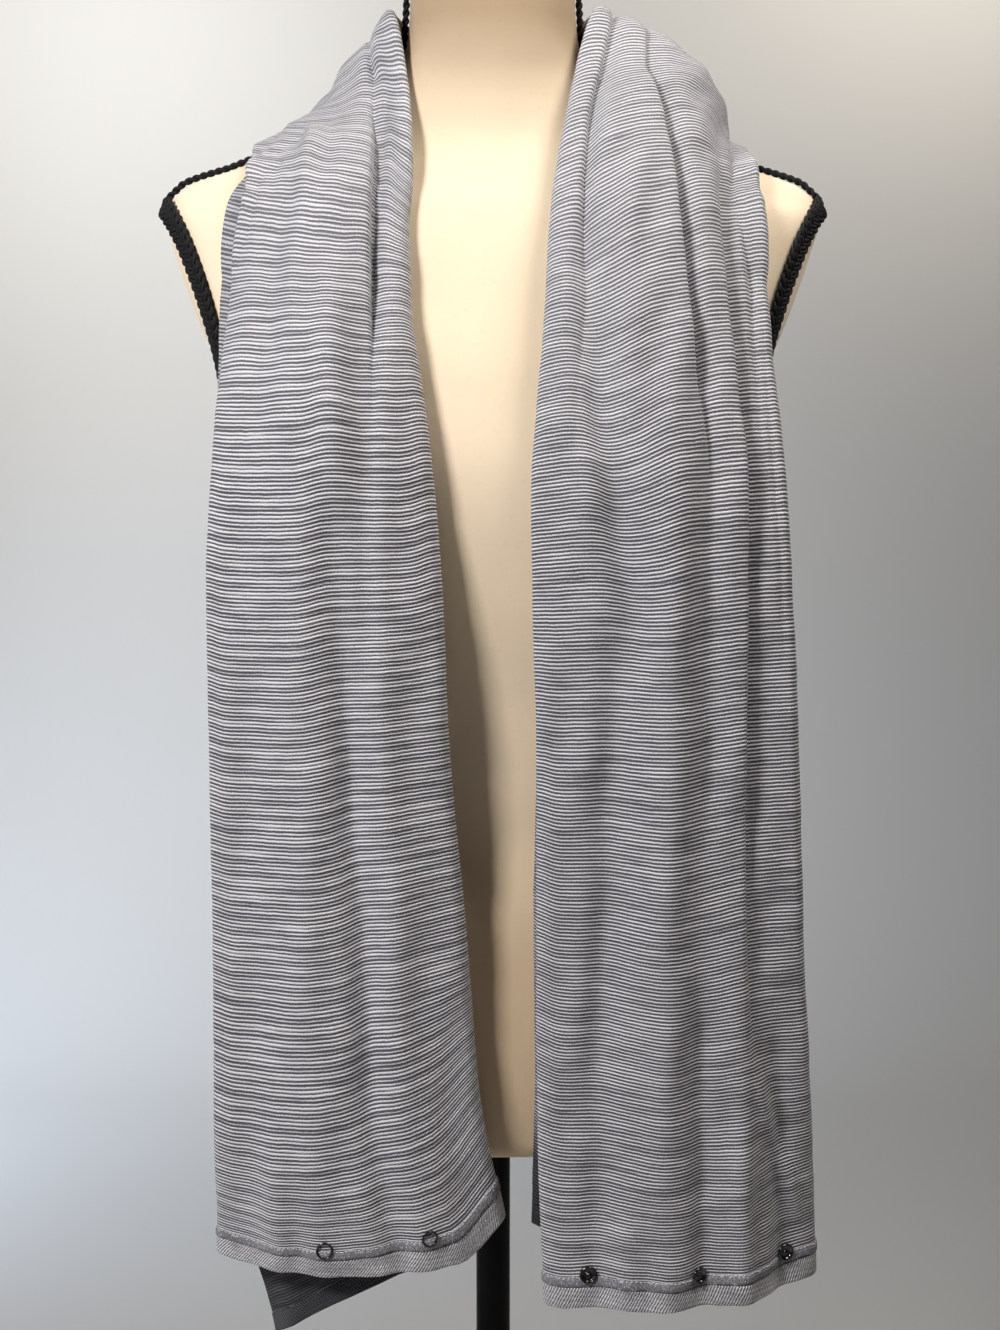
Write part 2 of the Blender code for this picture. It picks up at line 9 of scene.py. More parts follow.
import bpy
import numpy as np
from bpy.props import FloatProperty, FloatVectorProperty, PointerProperty
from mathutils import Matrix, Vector

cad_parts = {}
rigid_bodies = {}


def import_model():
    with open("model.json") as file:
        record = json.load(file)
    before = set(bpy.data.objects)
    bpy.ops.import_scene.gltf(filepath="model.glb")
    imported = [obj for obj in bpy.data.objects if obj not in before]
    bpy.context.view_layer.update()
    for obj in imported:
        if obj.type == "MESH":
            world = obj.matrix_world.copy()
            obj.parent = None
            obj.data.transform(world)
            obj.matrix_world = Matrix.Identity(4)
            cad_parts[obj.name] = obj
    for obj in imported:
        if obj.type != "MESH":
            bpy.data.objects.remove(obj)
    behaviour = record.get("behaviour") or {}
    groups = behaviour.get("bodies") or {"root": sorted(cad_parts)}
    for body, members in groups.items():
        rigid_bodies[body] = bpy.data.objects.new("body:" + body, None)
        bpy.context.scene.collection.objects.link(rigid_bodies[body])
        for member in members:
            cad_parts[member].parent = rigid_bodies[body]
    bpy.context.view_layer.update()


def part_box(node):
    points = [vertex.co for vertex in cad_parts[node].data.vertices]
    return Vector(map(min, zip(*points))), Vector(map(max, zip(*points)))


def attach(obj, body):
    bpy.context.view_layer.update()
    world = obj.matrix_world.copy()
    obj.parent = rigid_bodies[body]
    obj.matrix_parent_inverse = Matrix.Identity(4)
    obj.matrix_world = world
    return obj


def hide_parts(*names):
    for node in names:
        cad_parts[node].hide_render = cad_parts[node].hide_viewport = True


bl_info = {
    "name": "Snap Scarf on a Dress Form",
    "version": (1, 0, 0),
    "blender": (4, 5, 0),
    "location": "3D View > Sidebar > Scarf",
    "description": "Drapes, binds, stitches and snaps a striped jersey scarf and dresses its form",
    "category": "Object",
}

for startup_object in list(bpy.data.objects):
    bpy.data.objects.remove(startup_object, do_unlink=True)
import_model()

MM = 0.001
BODY = "root"

# Form: a row for each ring, whose columns are z, half width, depth in front, depth behind and power
FORM_ROWS = (
    (798.0, 146, 87, 106, 2.2),
    (806.0, 154, 92, 112, 2.2),
    (840.0, 159, 97, 118, 2.2),
    (880.0, 160, 98, 120, 2.2),
    (930.0, 148, 95, 112, 2.2),
    (990.0, 124, 84, 92, 2.2),
    (1050.0, 126, 86, 88, 2.2),
    (1120.0, 140, 97, 94, 2.2),
    (1190.0, 151, 105, 102, 2.2),
    (1240.0, 160, 98, 106, 2.2),
    (1290.0, 179, 84, 104, 2.2),
    (1325.0, 191, 74, 99, 2.1),
    (1345.0, 196, 67, 94, 1.9),
    (1354.0, 194, 63, 91, 1.7),
    (1364.0, 184, 59, 88, 1.6),
    (1376.0, 151, 55, 84, 1.5),
    (1388.0, 124, 52, 80, 1.5),
    (1401.0, 99, 50, 76, 1.55),
    (1413.0, 80, 48, 71, 1.65),
    (1426.0, 63, 47, 66, 1.8),
    (1440.0, 53, 47, 60, 2.0),
    (1456.0, 50, 47, 56, 2.0),
    (1478.0, 49, 46, 54, 2.0),
    (1504.0, 49, 46, 54, 2.0),
)
FORM_STEP = 4.0  # between the cover's rings
FORM_SIDES = 160
FORM_EDGE = 3.0  # rounding of its cut ends
FORM_EDGE_STEPS = 4
CLEARING_ROUNDS = 6  # of moving points out of the form

# Armhole plate's braid and the cord along the shoulder
ARMHOLE = dict(x=176.0, z=1290.0, high=61.0, deep=47.0, lean=0.30)
ARMHOLE_POINTS = 900
BRAID_STRANDS = 3
BRAID_LIFT = 0.9  # of the plait's middle over a strand that lies on the form
BRAID_WEAVE = 0.7  # how far its strands rise and sink as they cross
BRAID_PAIR = 0.95  # share of a cord's radius from a strand's middle to each of its two cords
STRAND_SIDES = 8
CORD_BEND = (1354.0, 1376.0, 60)  # heights and points of the cord's run over the shoulder's end
CORD_RUN = (1376.4, 1500.0, 260)  # and of its run along the shoulder and up the neck
CORD_LIFT = 0.3
PLY_OVERLAP = 1.12  # of a ply's radius, so that the two press into each other
SIDES = ((-1, "left"), (1, "right"))

# Scarf: a row for each section across its width, from the left hem over the neck to the right one.
# in_* and out_* are the ends of the front panel: its fold beside the neck and its outer fold.
# bow lifts the panel's middle and sag lets it down towards the hem. in_flap and out_flap are
# the widths turned under at those folds, and in_gap and out_gap how far behind the panel they
# lie. in_slip and out_slip move a flap's free edge along the scarf. crease_* are shares of the
# panel's width, and deep_* how deep those creases are. pleat is the share where the overlapping
# fold lies, and fold how far it is formed, from 0 to 1.
SCARF_COLUMNS = (
    "in_x", "in_y", "in_z", "out_x", "out_y", "out_z", "bow", "sag",
    "in_flap", "in_gap", "in_slip", "out_flap", "out_gap", "out_slip",
    "crease_a", "deep_a", "crease_b", "deep_b", "pleat", "fold",
)
SCARF_ROWS = (
    (8, -110, 763, -156, -114, 764, 24, 2, 138, 12, -46, 96, 5.5, 0, 0.36, 0.0, 0.60, 0.0, 0.80, 0.0),
    (-7, -117, 836, -156, -116, 818, 20, 8, 134, 12, -42, 96, 5.5, 0, 0.36, 0.0, 0.60, 0.0, 0.80, 0.0),
    (-15, -120, 938, -155, -117, 926, 16, 5, 128, 12, -32, 92, 5.5, 0, 0.35, 0.0, 0.60, 0.0, 0.80, 0.0),
    (-24, -118, 1038, -156, -116, 1032, 14, 2, 126, 12, -20, 88, 5.5, 0, 0.33, 0.0, 0.60, 0.0, 0.80, 0.0),
    (-28, -120, 1126, -157, -114, 1126, 14, 1, 126, 12, -10, 84, 5.5, 0, 0.28, 0.0, 0.60, 0.0, 0.80, 0.0),
    (-34, -120, 1194, -155, -104, 1203, 18, 0, 122, 11, -4, 78, 5.5, 0, 0.24, 0.8, 0.60, 0.0, 0.80, 0.0),
    (-41, -112, 1243, -152, -85, 1259, 20, 0, 120, 11, 0, 70, 5.5, 0, 0.18, 4.5, 0.60, 0.0, 0.80, 0.0),
    (-47, -98, 1285, -148, -60, 1310, 19, 0, 122, 10, 0, 64, 5.0, 0, 0.135, 13.0, 0.60, 0.0, 0.80, 0.0),
    (-48, -84, 1323, -141, -44, 1352, 18, 0, 118, 8, 0, 60, 4.0, 0, 0.145, 14.0, 0.60, 0.0, 0.80, 0.0),
    (-46, -66, 1367, -139, 2, 1380, 18, 0, 88, 5.0, 0, 60, 2.6, 0, 0.16, 12.5, 0.60, 0.0, 0.80, 0.0),
    (-50, -42, 1413, -137, 42, 1374, 17, 0, 76, 4.5, 0, 58, 2.8, 0, 0.145, 7.0, 0.60, 1.0, 0.80, 0.0),
    (-60, -4, 1468, -112, 72, 1376, 12, 0, 60, 6, 0, 50, 4.0, 0, 0.19, 2.5, 0.60, 2.0, 0.80, 0.0),
    (-50, 43, 1469, -62, 94, 1382, 8, 0, 48, 7, 0, 44, 6.5, 0, 0.26, 4.0, 0.58, 3.0, 0.80, 0.0),
    (0, 64, 1471, 0, 104, 1384, 8, 0, 46, 7, 0, 44, 7.0, 0, 0.22, 4.0, 0.54, 3.0, 0.80, 0.0),
    (50, 43, 1470, 64, 96, 1386, 13, 0, 46, 6.5, 0, 46, 7.5, 0, 0.16, 5.0, 0.34, 4.0, 0.80, 0.0),
    (63, -4, 1470, 110, 76, 1383, 30, 0, 54, 5.5, 0, 58, 6.5, 0, 0.095, 8.0, 0.235, 11.0, 0.80, 0.0),
    (50, -42, 1425, 144, 46, 1381, 41, 0, 72, 5.5, 0, 84, 4.5, 0, 0.095, 11.0, 0.265, 16.0, 0.79, 0.0),
    (40, -66, 1379, 147, 2, 1375, 32, 0, 88, 5.5, 0, 104, 4.0, 0, 0.115, 10.0, 0.47, 15.0, 0.76, 0.05),
    (33, -86, 1331, 151, -32, 1350, 27, 0, 98, 5.5, 0, 118, 6.5, 0, 0.14, 7.0, 0.58, 15.0, 0.74, 0.3),
    (30, -102, 1285, 157, -57, 1305, 22, 0, 102, 5.5, 0, 128, 11, 0, 0.16, 3.0, 0.61, 13.0, 0.74, 0.7),
    (26, -114, 1235, 160, -78, 1249, 20, 0, 104, 5.5, 0, 132, 12, -2, 0.14, 1.2, 0.65, 9.0, 0.77, 1.0),
    (22, -122, 1180, 164, -96, 1192, 19, 0, 106, 5.5, 0, 138, 12, -5, 0.15, 0.4, 0.68, 2.5, 0.80, 1.0),
    (23, -124, 1110, 168, -104, 1117, 17, 0, 106, 5.5, 0, 144, 12, -10, 0.16, 0.0, 0.65, 0.0, 0.78, 0.95),
    (25, -124, 1022, 172, -106, 1028, 16, 0, 106, 5.5, 0, 147, 12, -20, 0.18, 0.0, 0.58, 0.0, 0.75, 0.8),
    (25, -124, 923, 176, -104, 926, 18, 0, 108, 5.5, 0, 152, 12, -30, 0.20, 0.0, 0.52, 0.0, 0.73, 0.45),
    (26, -124, 816, 183, -98, 816, 22, -2, 110, 5.5, 0, 158, 12, -38, 0.20, 0.0, 0.48, 0.0, 0.72, 0.1),
    (30, -122, 730, 187, -92, 730, 26, -6, 112, 5.5, 0, 164, 12, -44, 0.20, 0.0, 0.45, 0.0, 0.72, 0.0),
)
CREASE_WIDTH = 3.2
CREASE_CUSP = 0.10  # how round a crease's bottom is
CREASE_POWER = 0.65  # how steeply its sides come up
CREASE_FULL = 6.0  # the depth from which a crease uses all the height it may
CREASE_LEAN = 7.5  # how far a 10 mm deep crease runs in under its upper lip
CREASE_SINK = 0.62  # share of its layer's height that a crease may use
FLAP_MARGIN = 16.0  # past a flap's free edge, over which the panel comes down where the flap ends
FLAP_RAMP = 13.0
PLEAT_OVERLAP = 15.0
PLEAT_STEP = 10.0
PLEAT_BULGE = 2.6  # of the fold's edge past its place
PLEAT_TURN = 2.0  # of the hidden fold behind it
PLEAT_END = 2.0  # past the fold's place, where the last layer comes out from under it
PLEAT_LAYERS = (0.52, 0.60, 1.0, 1.05)  # steps behind the panel where its hidden layers start and end
PLEAT_PLACES = 10  # places along the flat cloth from the fold to the outer fold
PLEAT_EASE = 0.9
PLEAT_SETBACK = 22.0  # over which the flap behind the pleat moves back to make room
PLEAT_ROOM = 1.15  # of that room to the pleat's step
SLIP_POWER = 2.2
LEAST_CLEARANCE = 1.7  # of the rearmost layer's middle from the form
LAYER_CLEARANCE = 0.95  # share of a layer's height over the rearmost that it keeps
CORD_REACH = 23.0  # in front of the shoulder's ridge and behind it
CORD_CLEARANCE = 5.6  # of the rearmost layer's middle where the shoulder cord runs beneath it
CORD_FROM = 1330.0  # the height where that starts
CORD_RISE = 20.0

# Where the tails meet the stretch behind the neck, in mm from the nearer hem, and the gaps between pieces
NECK_STRETCH = 738.0
NECK_GAP = 0.2
GAP = 0.3

# Fineness of the cloth's mesh
CLOTH_STEP = 3.6  # between rows along the scarf
STATION_COUNT = 521
FACING_REACH = 2.0  # mm to either side, between which the cloth's facing is taken
HEADING_REACH = 0.35  # stations to either side, between which a section's heading is taken
FLAP_POINTS = 24
ARC_POINTS = 9
CREASE_REACH = 8.0
CREASE_POINTS = 30
OPEN_POINTS = (10, 18, 12)  # on the panel before, between and after its creases
PLEAT_TAIL_POINTS = 22
PLEAT_LAYER_POINTS = 10

# Soft folds and pulls: where each starts and ends, in mm from its own hem, its share of the panel's
# width there, its reach to either side, and how far it rises from the cloth or sinks into it. A
# pull moves the cloth on its inner side towards the neck and on its outer side towards the hem.
WAVE_FADE = 1.2  # how steeply it fades towards its start and its end
WAVE_COLUMNS = ("start", "end", "share_start", "share_end", "reach", "rise")
LEFT_FOLDS = (
    (-120, 640, 0.66, 0.52, 13.0, 4.6),
    (-80, 470, 0.37, 0.44, 8.0, -7.0),
    (-90, 460, 0.27, 0.24, 8.5, 5.2),
    (-60, 520, 0.87, 0.80, 12.0, -3.6),
    (300, 600, 0.34, 0.20, 8.0, -4.4),
    (330, 640, 0.44, 0.32, 9.0, 3.6),
    (-90, 120, 0.15, 0.19, 5.5, 3.0),
    (-80, 130, 0.09, 0.10, 7.0, -1.6),
    (-70, 110, 0.80, 0.76, 8.0, 3.8),
    (420, 720, 0.92, 0.86, 8.0, 1.8),
    (430, 700, 0.74, 0.66, 8.0, -2.0),
    (470, 740, 0.56, 0.60, 7.0, 1.8),
    (540, 780, 0.82, 0.78, 6.0, -2.0),
    (560, 790, 0.46, 0.44, 6.0, -1.8),
)
RIGHT_FOLDS = (
    (-80, 500, 0.14, 0.34, 11.0, -7.5),
    (300, 680, 0.46, 0.06, 10.0, -7.5),
    (-110, 640, 0.36, 0.56, 12.0, 7.5),
    (180, 560, 0.60, 0.68, 9.0, -5.4),
    (-110, 460, 0.03, 0.03, 7.0, 1.8),
    (-80, 240, 0.52, 0.58, 7.5, -6.0),
    (-110, 210, 0.66, 0.72, 7.5, 6.0),
    (-60, 190, 0.83, 0.86, 7.5, -5.5),
    (10, 170, 0.96, 0.70, 4.5, 3.2),
    (-60, 90, 0.28, 0.27, 7.0, 1.6),
    (470, 720, 0.06, 0.07, 6.0, 1.8),
    (450, 700, 0.88, 0.89, 7.0, 1.8),
    (430, 790, 0.90, 0.905, 3.2, -4.2),
    (330, 560, 0.955, 0.94, 2.6, -2.2),
    (520, 740, 0.76, 0.78, 6.0, -2.0),
    (500, 700, 0.34, 0.30, 8.0, 2.2),
)
LEFT_PULLS = (
    (240, 680, 0.56, 0.42, 8.0, 6.0),
    (-40, 360, 0.36, 0.50, 9.0, 5.0),
    (280, 640, 0.06, 0.05, 8.0, 8.0),
    (-90, 150, 0.05, 0.08, 12.0, 24.0),
    (420, 720, 0.27, 0.28, 7.0, 8.0),
    (540, 770, 0.08, 0.08, 5.0, -11.0),
    (-80, 600, 0.96, 0.96, 5.0, -3.0),
)
RIGHT_PULLS = (
    (330, 690, 0.40, -0.02, 10.0, 9.0),
    (330, 690, 0.61, 0.19, 12.0, -10.0),
    (-60, 420, 0.03, 0.04, 5.0, 5.0),
    (-60, 460, 0.28, 0.34, 18.0, 5.0),
    (-60, 460, 0.64, 0.68, 15.0, -6.0),
    (430, 640, 0.64, 0.60, 7.0, -5.0),
    (-70, 130, 0.88, 0.84, 14.0, -9.0),
)

# Unevenness of soft jersey: each wave's length along and across the scarf, its phase and its height
COCKLES = (
    (71.0, 46.0, 0.3, 0.40),
    (43.0, -67.0, 1.9, 0.34),
    (118.0, 29.0, 4.1, 0.45),
    (27.0, 83.0, 2.6, 0.16),
    (19.0, -37.0, 0.8, 0.12),
)
PUCKER_HEIGHT = 0.32
PUCKER_ABOVE_HEM = 16.0  # where the stitching draws the cloth most
PUCKER_REACH = 13.0
PUCKER_FINE = 3.1  # its finer and its coarser ripples, and how the finer ones drift across the cloth
PUCKER_COARSE = 7.3
PUCKER_DRIFT = 17.0

# Binding: levels up its height, closer together at its edges, and how its thickness is rounded there
BINDING_LEVELS = (0.0, 0.25, 0.7, 1.3, 2.2, 3.4, 5.0, 6.8, 8.6, 10.2, 11.4, 12.2, 12.7, 13.0)
BINDING_FOLD = 1.5
BINDING_TOP = 0.8

# Seam over the binding: its thickness from one edge to the other, and the threads on it
SEAM_EDGE = (0.35, 0.8, 1.0, 1.0, 1.0, 0.8, 0.35)
SEAM_LIFT = 0.12
LOOP_THREAD = 0.28  # radius
LOOP_POINTS = 4  # for each stitch
LOOP_LOW = 0.12  # share of the seam's height where a loop turns, and the share that it swings over
LOOP_SWING = 0.70
LOOP_LEAN = 0.22  # of a stitch's length
DASH_THREAD = 0.36
DASH_START = 0.2  # share of a stitch's length before a dash, and the shares of its points
DASH_SHARES = (0.0, 0.22, 0.48, 0.7)
DASH_RISES = (0.2, 0.7, 0.7, 0.2)  # of its points over the cloth

# Snaps, whose places are distances across the panel or flap from its fold
SNAP_ABOVE_HEM = 20.3
SNAP_LIFT = 0.25
SNAP_REACH = 4.5
SNAP_SIDES = 48

# The ring's wire, and the socket's rim and boss as radius and height
RING = dict(middle=4.12, half_wide=0.68, half_high=0.55, points=14)
SOCKET_RIM = ((4.2, 0.0), (5.0, 0.15), (5.05, 0.9), (4.5, 1.5), (3.7, 1.45), (3.2, 0.9), (2.9, 0.45))
SOCKET_BOSS = ((1.9, 0.25), (1.35, 0.45), (1.1, 0.95), (0.6, 1.2), (0.05, 1.25))

# Stand's foot: its rim's height and rounding, its slope as radius and height, and its collar
FOOT_RIM = 9.0
FOOT_ROUND = 1.5
FOOT_SLOPE = ((60.0, 16.0), (27.0, 18.0), (21.0, 24.0))
COLLAR_OUTSIDE = 21.0
COLLAR_INSIDE = 11.0
CORNER_SHARE = 0.45  # the most of an edge that rounding its corner takes away

# Colours' places, in metres: on the cloth from its first or its nearer hem, and on the form from the floor
LEFT_HALF = 0.80
UPPER_CLOTH = 0.43
# Painted shadow on the cloth's inner side reaches this far from the hems
HEM_SHADOW_REACH = 0.075
# Painted shade on the form: from this height up the neck
NECK_SHADE_FROM = 1.375
# Painted shade on the form: from this height down towards the hips
LOWER_SHADE_FROM = 1.02
COURSE_PITCH = 0.00062  # of the knit's own courses
SLANT_PITCH = 0.00165  # of the binding's light dashes, and of the rows that they lie in
SLANT_ROWS = 0.0031
# Tint of the painted shadow along the seam's lower edge
SEAM_SHADOW_TINT = (0.28, 0.28, 0.31)
PATCH_TINT = (0.55, 0.55, 0.60)
PILL_TINT = (0.86, 0.80, 0.70)
KNIT_TINT = (0.90, 0.88, 0.84)
# Tint of the painted shade on the neck
NECK_SHADE_TINT = (0.50, 0.44, 0.38)
# Tint of the painted shade towards the hips
LOWER_SHADE_TINT = (0.80, 0.74, 0.68)

# Lamps, in metres and watts: place, what it is turned to, width, power, colour and spread in degrees
LAMPS = {
    "key": ((-0.95, -1.15, 2.0), (0.0, -0.05, 1.2), 0.38, 27.0, (1.0, 0.98, 0.96), 180),
    "overhead": ((0.55, -0.30, 2.15), (0.1, 0.0, 1.4), 0.5, 11.0, (1.0, 0.95, 0.88), 180),
    "low": ((-1.5, -0.9, 0.9), (-0.15, -0.1, 0.85), 0.6, 3.8, (0.86, 0.92, 1.0), 180),
    "rear": ((-0.9, 1.7, 2.0), (0.0, 0.0, 1.4), 1.0, 3.0, (0.96, 0.98, 1.0), 80),
    "wall_left": ((-1.0, 2.0, 2.9), (-0.9, 3.6, 2.0), 1.2, 13.5, (0.99, 0.98, 0.95), 110),
    "wall_right": ((1.2, 2.0, 3.1), (1.2, 3.6, 2.9), 1.2, 7.0, (1.0, 0.93, 0.83), 80),
    "wall_low": ((-2.3, 1.5, 0.95), (-1.1, 2.5, 0.1), 0.8, 12.0, (0.70, 0.82, 1.0), 95),
}
SKY_COLOUR = (1.0, 0.93, 0.86, 1.0)
SKY_STRENGTH = 0.035

# Camera, in metres and degrees
CAMERA_PLACE = (0.0043, -1.13, 1.1557)
CAMERA_TILT = 4.0  # down from level
SENSOR_WIDTH = 36.0


def smooth_columns(table, at):
    """Every column of the table at the positions `at` of its first column, without overshoot."""
    table = np.asarray(table, float)
    knots, values = table[:, 0], table[:, 1:]
    steps = np.diff(knots)[:, None]
    slopes = np.diff(values, axis=0) / steps
    tangents = np.zeros_like(values)
    same_way = slopes[:-1] * slopes[1:] > 0
    mean = 2 * slopes[:-1] * slopes[1:] / np.where(same_way, slopes[:-1] + slopes[1:], 1)
    tangents[1:-1] = np.where(same_way, mean, 0)
    tangents[0], tangents[-1] = slopes[0], slopes[-1]
    at = np.clip(np.asarray(at, float), knots[0], knots[-1])
    i = np.clip(np.searchsorted(knots, at, side="right") - 1, 0, len(knots) - 2)
    h = steps[i]
    t = ((at - knots[i])[..., None]) / h
    return (
        (2 * t**3 - 3 * t**2 + 1) * values[i]
        + (t**3 - 2 * t**2 + t) * h * tangents[i]
        + (3 * t**2 - 2 * t**3) * values[i + 1]
        + (t**3 - t**2) * h * tangents[i + 1]
    )


def form_field(points):
    """Below 0 inside the form, 0 on its surface, above 0 outside."""
    half, front, back, power = np.moveaxis(smooth_columns(FORM_ROWS, points[..., 2]), -1, 0)
    deep = np.where(points[..., 1] < 0, front, back)
    across = np.abs(points[..., 0]) / half
    along = np.abs(points[..., 1]) / deep
    return (across**power + along**power + 1e-12) ** (1 / power) - 1


def form_slope(points):
    """How fast the form's field rises along each axis."""
    rises = [form_field(points + step) - form_field(points - step) for step in np.eye(3) / 2]
    return np.stack(rises, axis=-1)


def off_the_form(points, clearance, exactly=False):
    """Moves points out until they are this far from the form, or on to that distance exactly."""
    points = points.copy()
    for _ in range(CLEARING_ROUNDS):
        slope = form_slope(points)
        steep = np.linalg.norm(slope, axis=-1)
        short = clearance - form_field(points) / steep
        short = short if exactly else np.maximum(short, 0)
        points += slope / steep[..., None] * short[..., None]
    return points


def unit(vectors):
    return vectors / np.linalg.norm(vectors, axis=-1, keepdims=True)


def headings(path, looped=False):
    """Unit directions along a path, which may close on itself."""
    if looped:
        return unit(np.roll(path, -1, axis=0) - np.roll(path, 1, axis=0))
    return unit(np.gradient(path, axis=0))


def travelled(steps):
    """The way travelled before each step and after the last one."""
    return np.concatenate([[0], np.cumsum(steps)])


def scarf_rows(stations):
    table = np.column_stack([np.arange(len(SCARF_ROWS)), np.asarray(SCARF_ROWS, float)])
    return dict(zip(SCARF_COLUMNS, np.moveaxis(smooth_columns(table, stations), -1, 0)))


def panel_ends(stations):
    row = scarf_rows(stations)
    inner = np.stack([row["in_x"], row["in_y"], row["in_z"]], axis=-1)
    outer = np.stack([row["out_x"], row["out_y"], row["out_z"]], axis=-1)
    return inner, outer


def along_the_scarf():
    """Stations, and the length of cloth from the first hem to each of them."""
    stations = np.linspace(0, len(SCARF_ROWS) - 1, STATION_COUNT)
    inner, outer = panel_ends(stations)
    steps = sum(
        np.linalg.norm(np.diff(inner + (outer - inner) * share, axis=0), axis=1) / 3
        for share in (0.1, 0.5, 0.9)
    )
    return stations, travelled(steps)


STATIONS, LENGTHS = along_the_scarf()
SCARF_LENGTH = LENGTHS[-1]


def half_circle(points):
    """(sine, cosine) of angles spread over a half turn, without its ends."""
    angles = math.pi * np.linspace(0, 1, points + 2)[1:-1]
    return [(math.sin(angle), math.cos(angle)) for angle in angles]


def pleat_path():
    """The overlapping fold at full fold: (place along it, past its edge, steps behind it)."""
    turns = [
        (2 * (k + 1) / (ARC_POINTS + 1), sine, cosine)
        for k, (sine, cosine) in enumerate(half_circle(ARC_POINTS))
    ]
    shares = np.linspace(0, 1, PLEAT_LAYER_POINTS)
    low = -PLEAT_OVERLAP
    a, b, c, d = PLEAT_LAYERS
    path = [(0.0, 0.0, 0.0)]
    path += [(place, PLEAT_BULGE * sine, a / 2 * (1 - cosine)) for place, sine, cosine in turns]
    path += [(2 + share, low * share, a + (b - a) * share) for share in shares]
    path += [
        (3 + place, low - PLEAT_TURN * sine, (b + c) / 2 - (c - b) / 2 * cosine)
        for place, sine, cosine in turns
    ]
    path += [(5 + share, low + (PLEAT_END - low) * share, c + (d - c) * share) for share in shares]
    return path


def spread(low, high, points):
    """Evenly spread distances from `low` up to `high`, without `high` itself."""
    return [low + (high - low) * k / points for k in range(points)]


def section_columns(row, width):
    """The section's points: across the panel, behind it, and the share of each flap's slip."""
    in_round, out_round = row["in_gap"] / 2, row["out_gap"] / 2
    crease_a, crease_b = row["crease_a"] * width, row["crease_b"] * width
    pleat, fold = row["pleat"] * width, row["fold"]
    reach = CREASE_REACH
    across, behind, in_slip, out_slip = [], [], [], []

    def add(a, b, slip_in=0.0, slip_out=0.0):
        zero = np.zeros_like(width)
        across.append(a + zero)
        behind.append(b + zero)
        in_slip.append(slip_in + zero)
        out_slip.append(slip_out + zero)

    for share in np.linspace(1, 0, FLAP_POINTS):
        add(in_round + (row["in_flap"] - in_round) * share, -row["in_gap"], slip_in=share)
    for sine, cosine in reversed(half_circle(ARC_POINTS)):
        add(in_round * (1 - sine), in_round * (cosine - 1))

    before, between, after = OPEN_POINTS
    stretches = (
        (in_round, crease_a - reach, before),
        (crease_a - reach, crease_a + reach, CREASE_POINTS),
        (crease_a + reach, crease_b - reach, between),
        (crease_b - reach, crease_b + reach, CREASE_POINTS),
        (crease_b + reach, pleat, after),
    )
    for low, high, points in stretches:
        for a in spread(low, high, points):
            add(a, 0.0)
    fold_end = width - out_round
    for place, past, steps in pleat_path():
        flat = pleat + place * (fold_end - pleat) / PLEAT_PLACES
        add(flat + (pleat + past - flat) * fold, -steps * PLEAT_STEP * fold)
    last = across[-1]
    for share in np.linspace(0, 1, PLEAT_TAIL_POINTS + 1)[1:]:
        back = PLEAT_STEP * PLEAT_LAYERS[-1] * fold * (1 - share) ** PLEAT_EASE
        add(last + (fold_end - last) * share, -back)

    for sine, cosine in half_circle(ARC_POINTS):
        add(fold_end + out_round * sine, out_round * (cosine - 1))
    for share in np.linspace(0, 1, FLAP_POINTS):
        add(fold_end - (row["out_flap"] - out_round) * share, -row["out_gap"], slip_out=share)
    return tuple(np.stack(column, axis=-1) for column in (across, behind, in_slip, out_slip))


def waves(tables, lengths, share, wide, shape):
    """The sum of each tail's folds or pulls at every point, whose cross-section `shape` gives."""
    total = np.zeros_like(share)
    for table, from_hem in zip(tables, (lengths, SCARF_LENGTH - lengths)):
        for numbers in table:
            wave = dict(zip(WAVE_COLUMNS, numbers))
            along = (from_hem - wave["start"]) / (wave["end"] - wave["start"])
            strength = np.sin(math.pi * np.clip(along, 0, 1)) ** WAVE_FADE
            middle = wave["share_start"] + (wave["share_end"] - wave["share_start"]) * along
            away = (share - middle[:, None]) * wide / wave["reach"]
            total += wave["rise"] * strength[:, None] * shape(away)
    return total


def ridge(away):
    return np.exp(-(away**2))


def shear(away):
    return -np.tanh(away) / 2


def cockle(lengths, across):
    """The small unevenness of soft jersey, from a few long and short waves."""
    along = lengths[:, None]
    total = np.zeros(np.broadcast_shapes(along.shape, across.shape))
    for long, wide, phase, rise in COCKLES:
        total += rise * np.sin(2 * math.pi * (along / long + across / wide) + phase)
    return total


def hem_pucker(lengths, across):
    """Short ripples that the stitching draws into the cloth near both hems."""
    near = np.minimum(lengths, SCARF_LENGTH - lengths)[:, None]
    ripple = np.sin(across / PUCKER_FINE + 1.3 * np.sin(across / PUCKER_DRIFT))
    ripple += 0.6 * np.sin(across / PUCKER_COARSE + 2)
    return PUCKER_HEIGHT * np.exp(-(((near - PUCKER_ABOVE_HEM) / PUCKER_REACH) ** 2)) * ripple


def section_frame(stations):
    """Each section's inner end and width, and its directions: across, outward and along the scarf."""
    inner, outer = panel_ends(stations)
    before = panel_ends(np.maximum(stations - HEADING_REACH, 0))
    after = panel_ends(np.minimum(stations + HEADING_REACH, len(SCARF_ROWS) - 1))
    forward = unit(sum(after) - sum(before))
    sideways = unit(outer - inner)
    facing = unit(np.cross(forward, sideways))
    return inner, np.linalg.norm(outer - inner, axis=-1), sideways, facing, forward


def over_flaps(row, across, wide):
    """How far the panel lies in front of the flaps that are turned under behind it."""
    in_cover = (row["in_flap"] + FLAP_MARGIN - across) / FLAP_RAMP
    out_cover = (across - wide + row["out_flap"] + FLAP_MARGIN) / FLAP_RAMP
    in_back = row["in_gap"] * np.clip(in_cover, 0, 1)
    out_back = row["out_gap"] * np.clip(out_cover, 0, 1)
    return np.maximum(in_back, out_back)


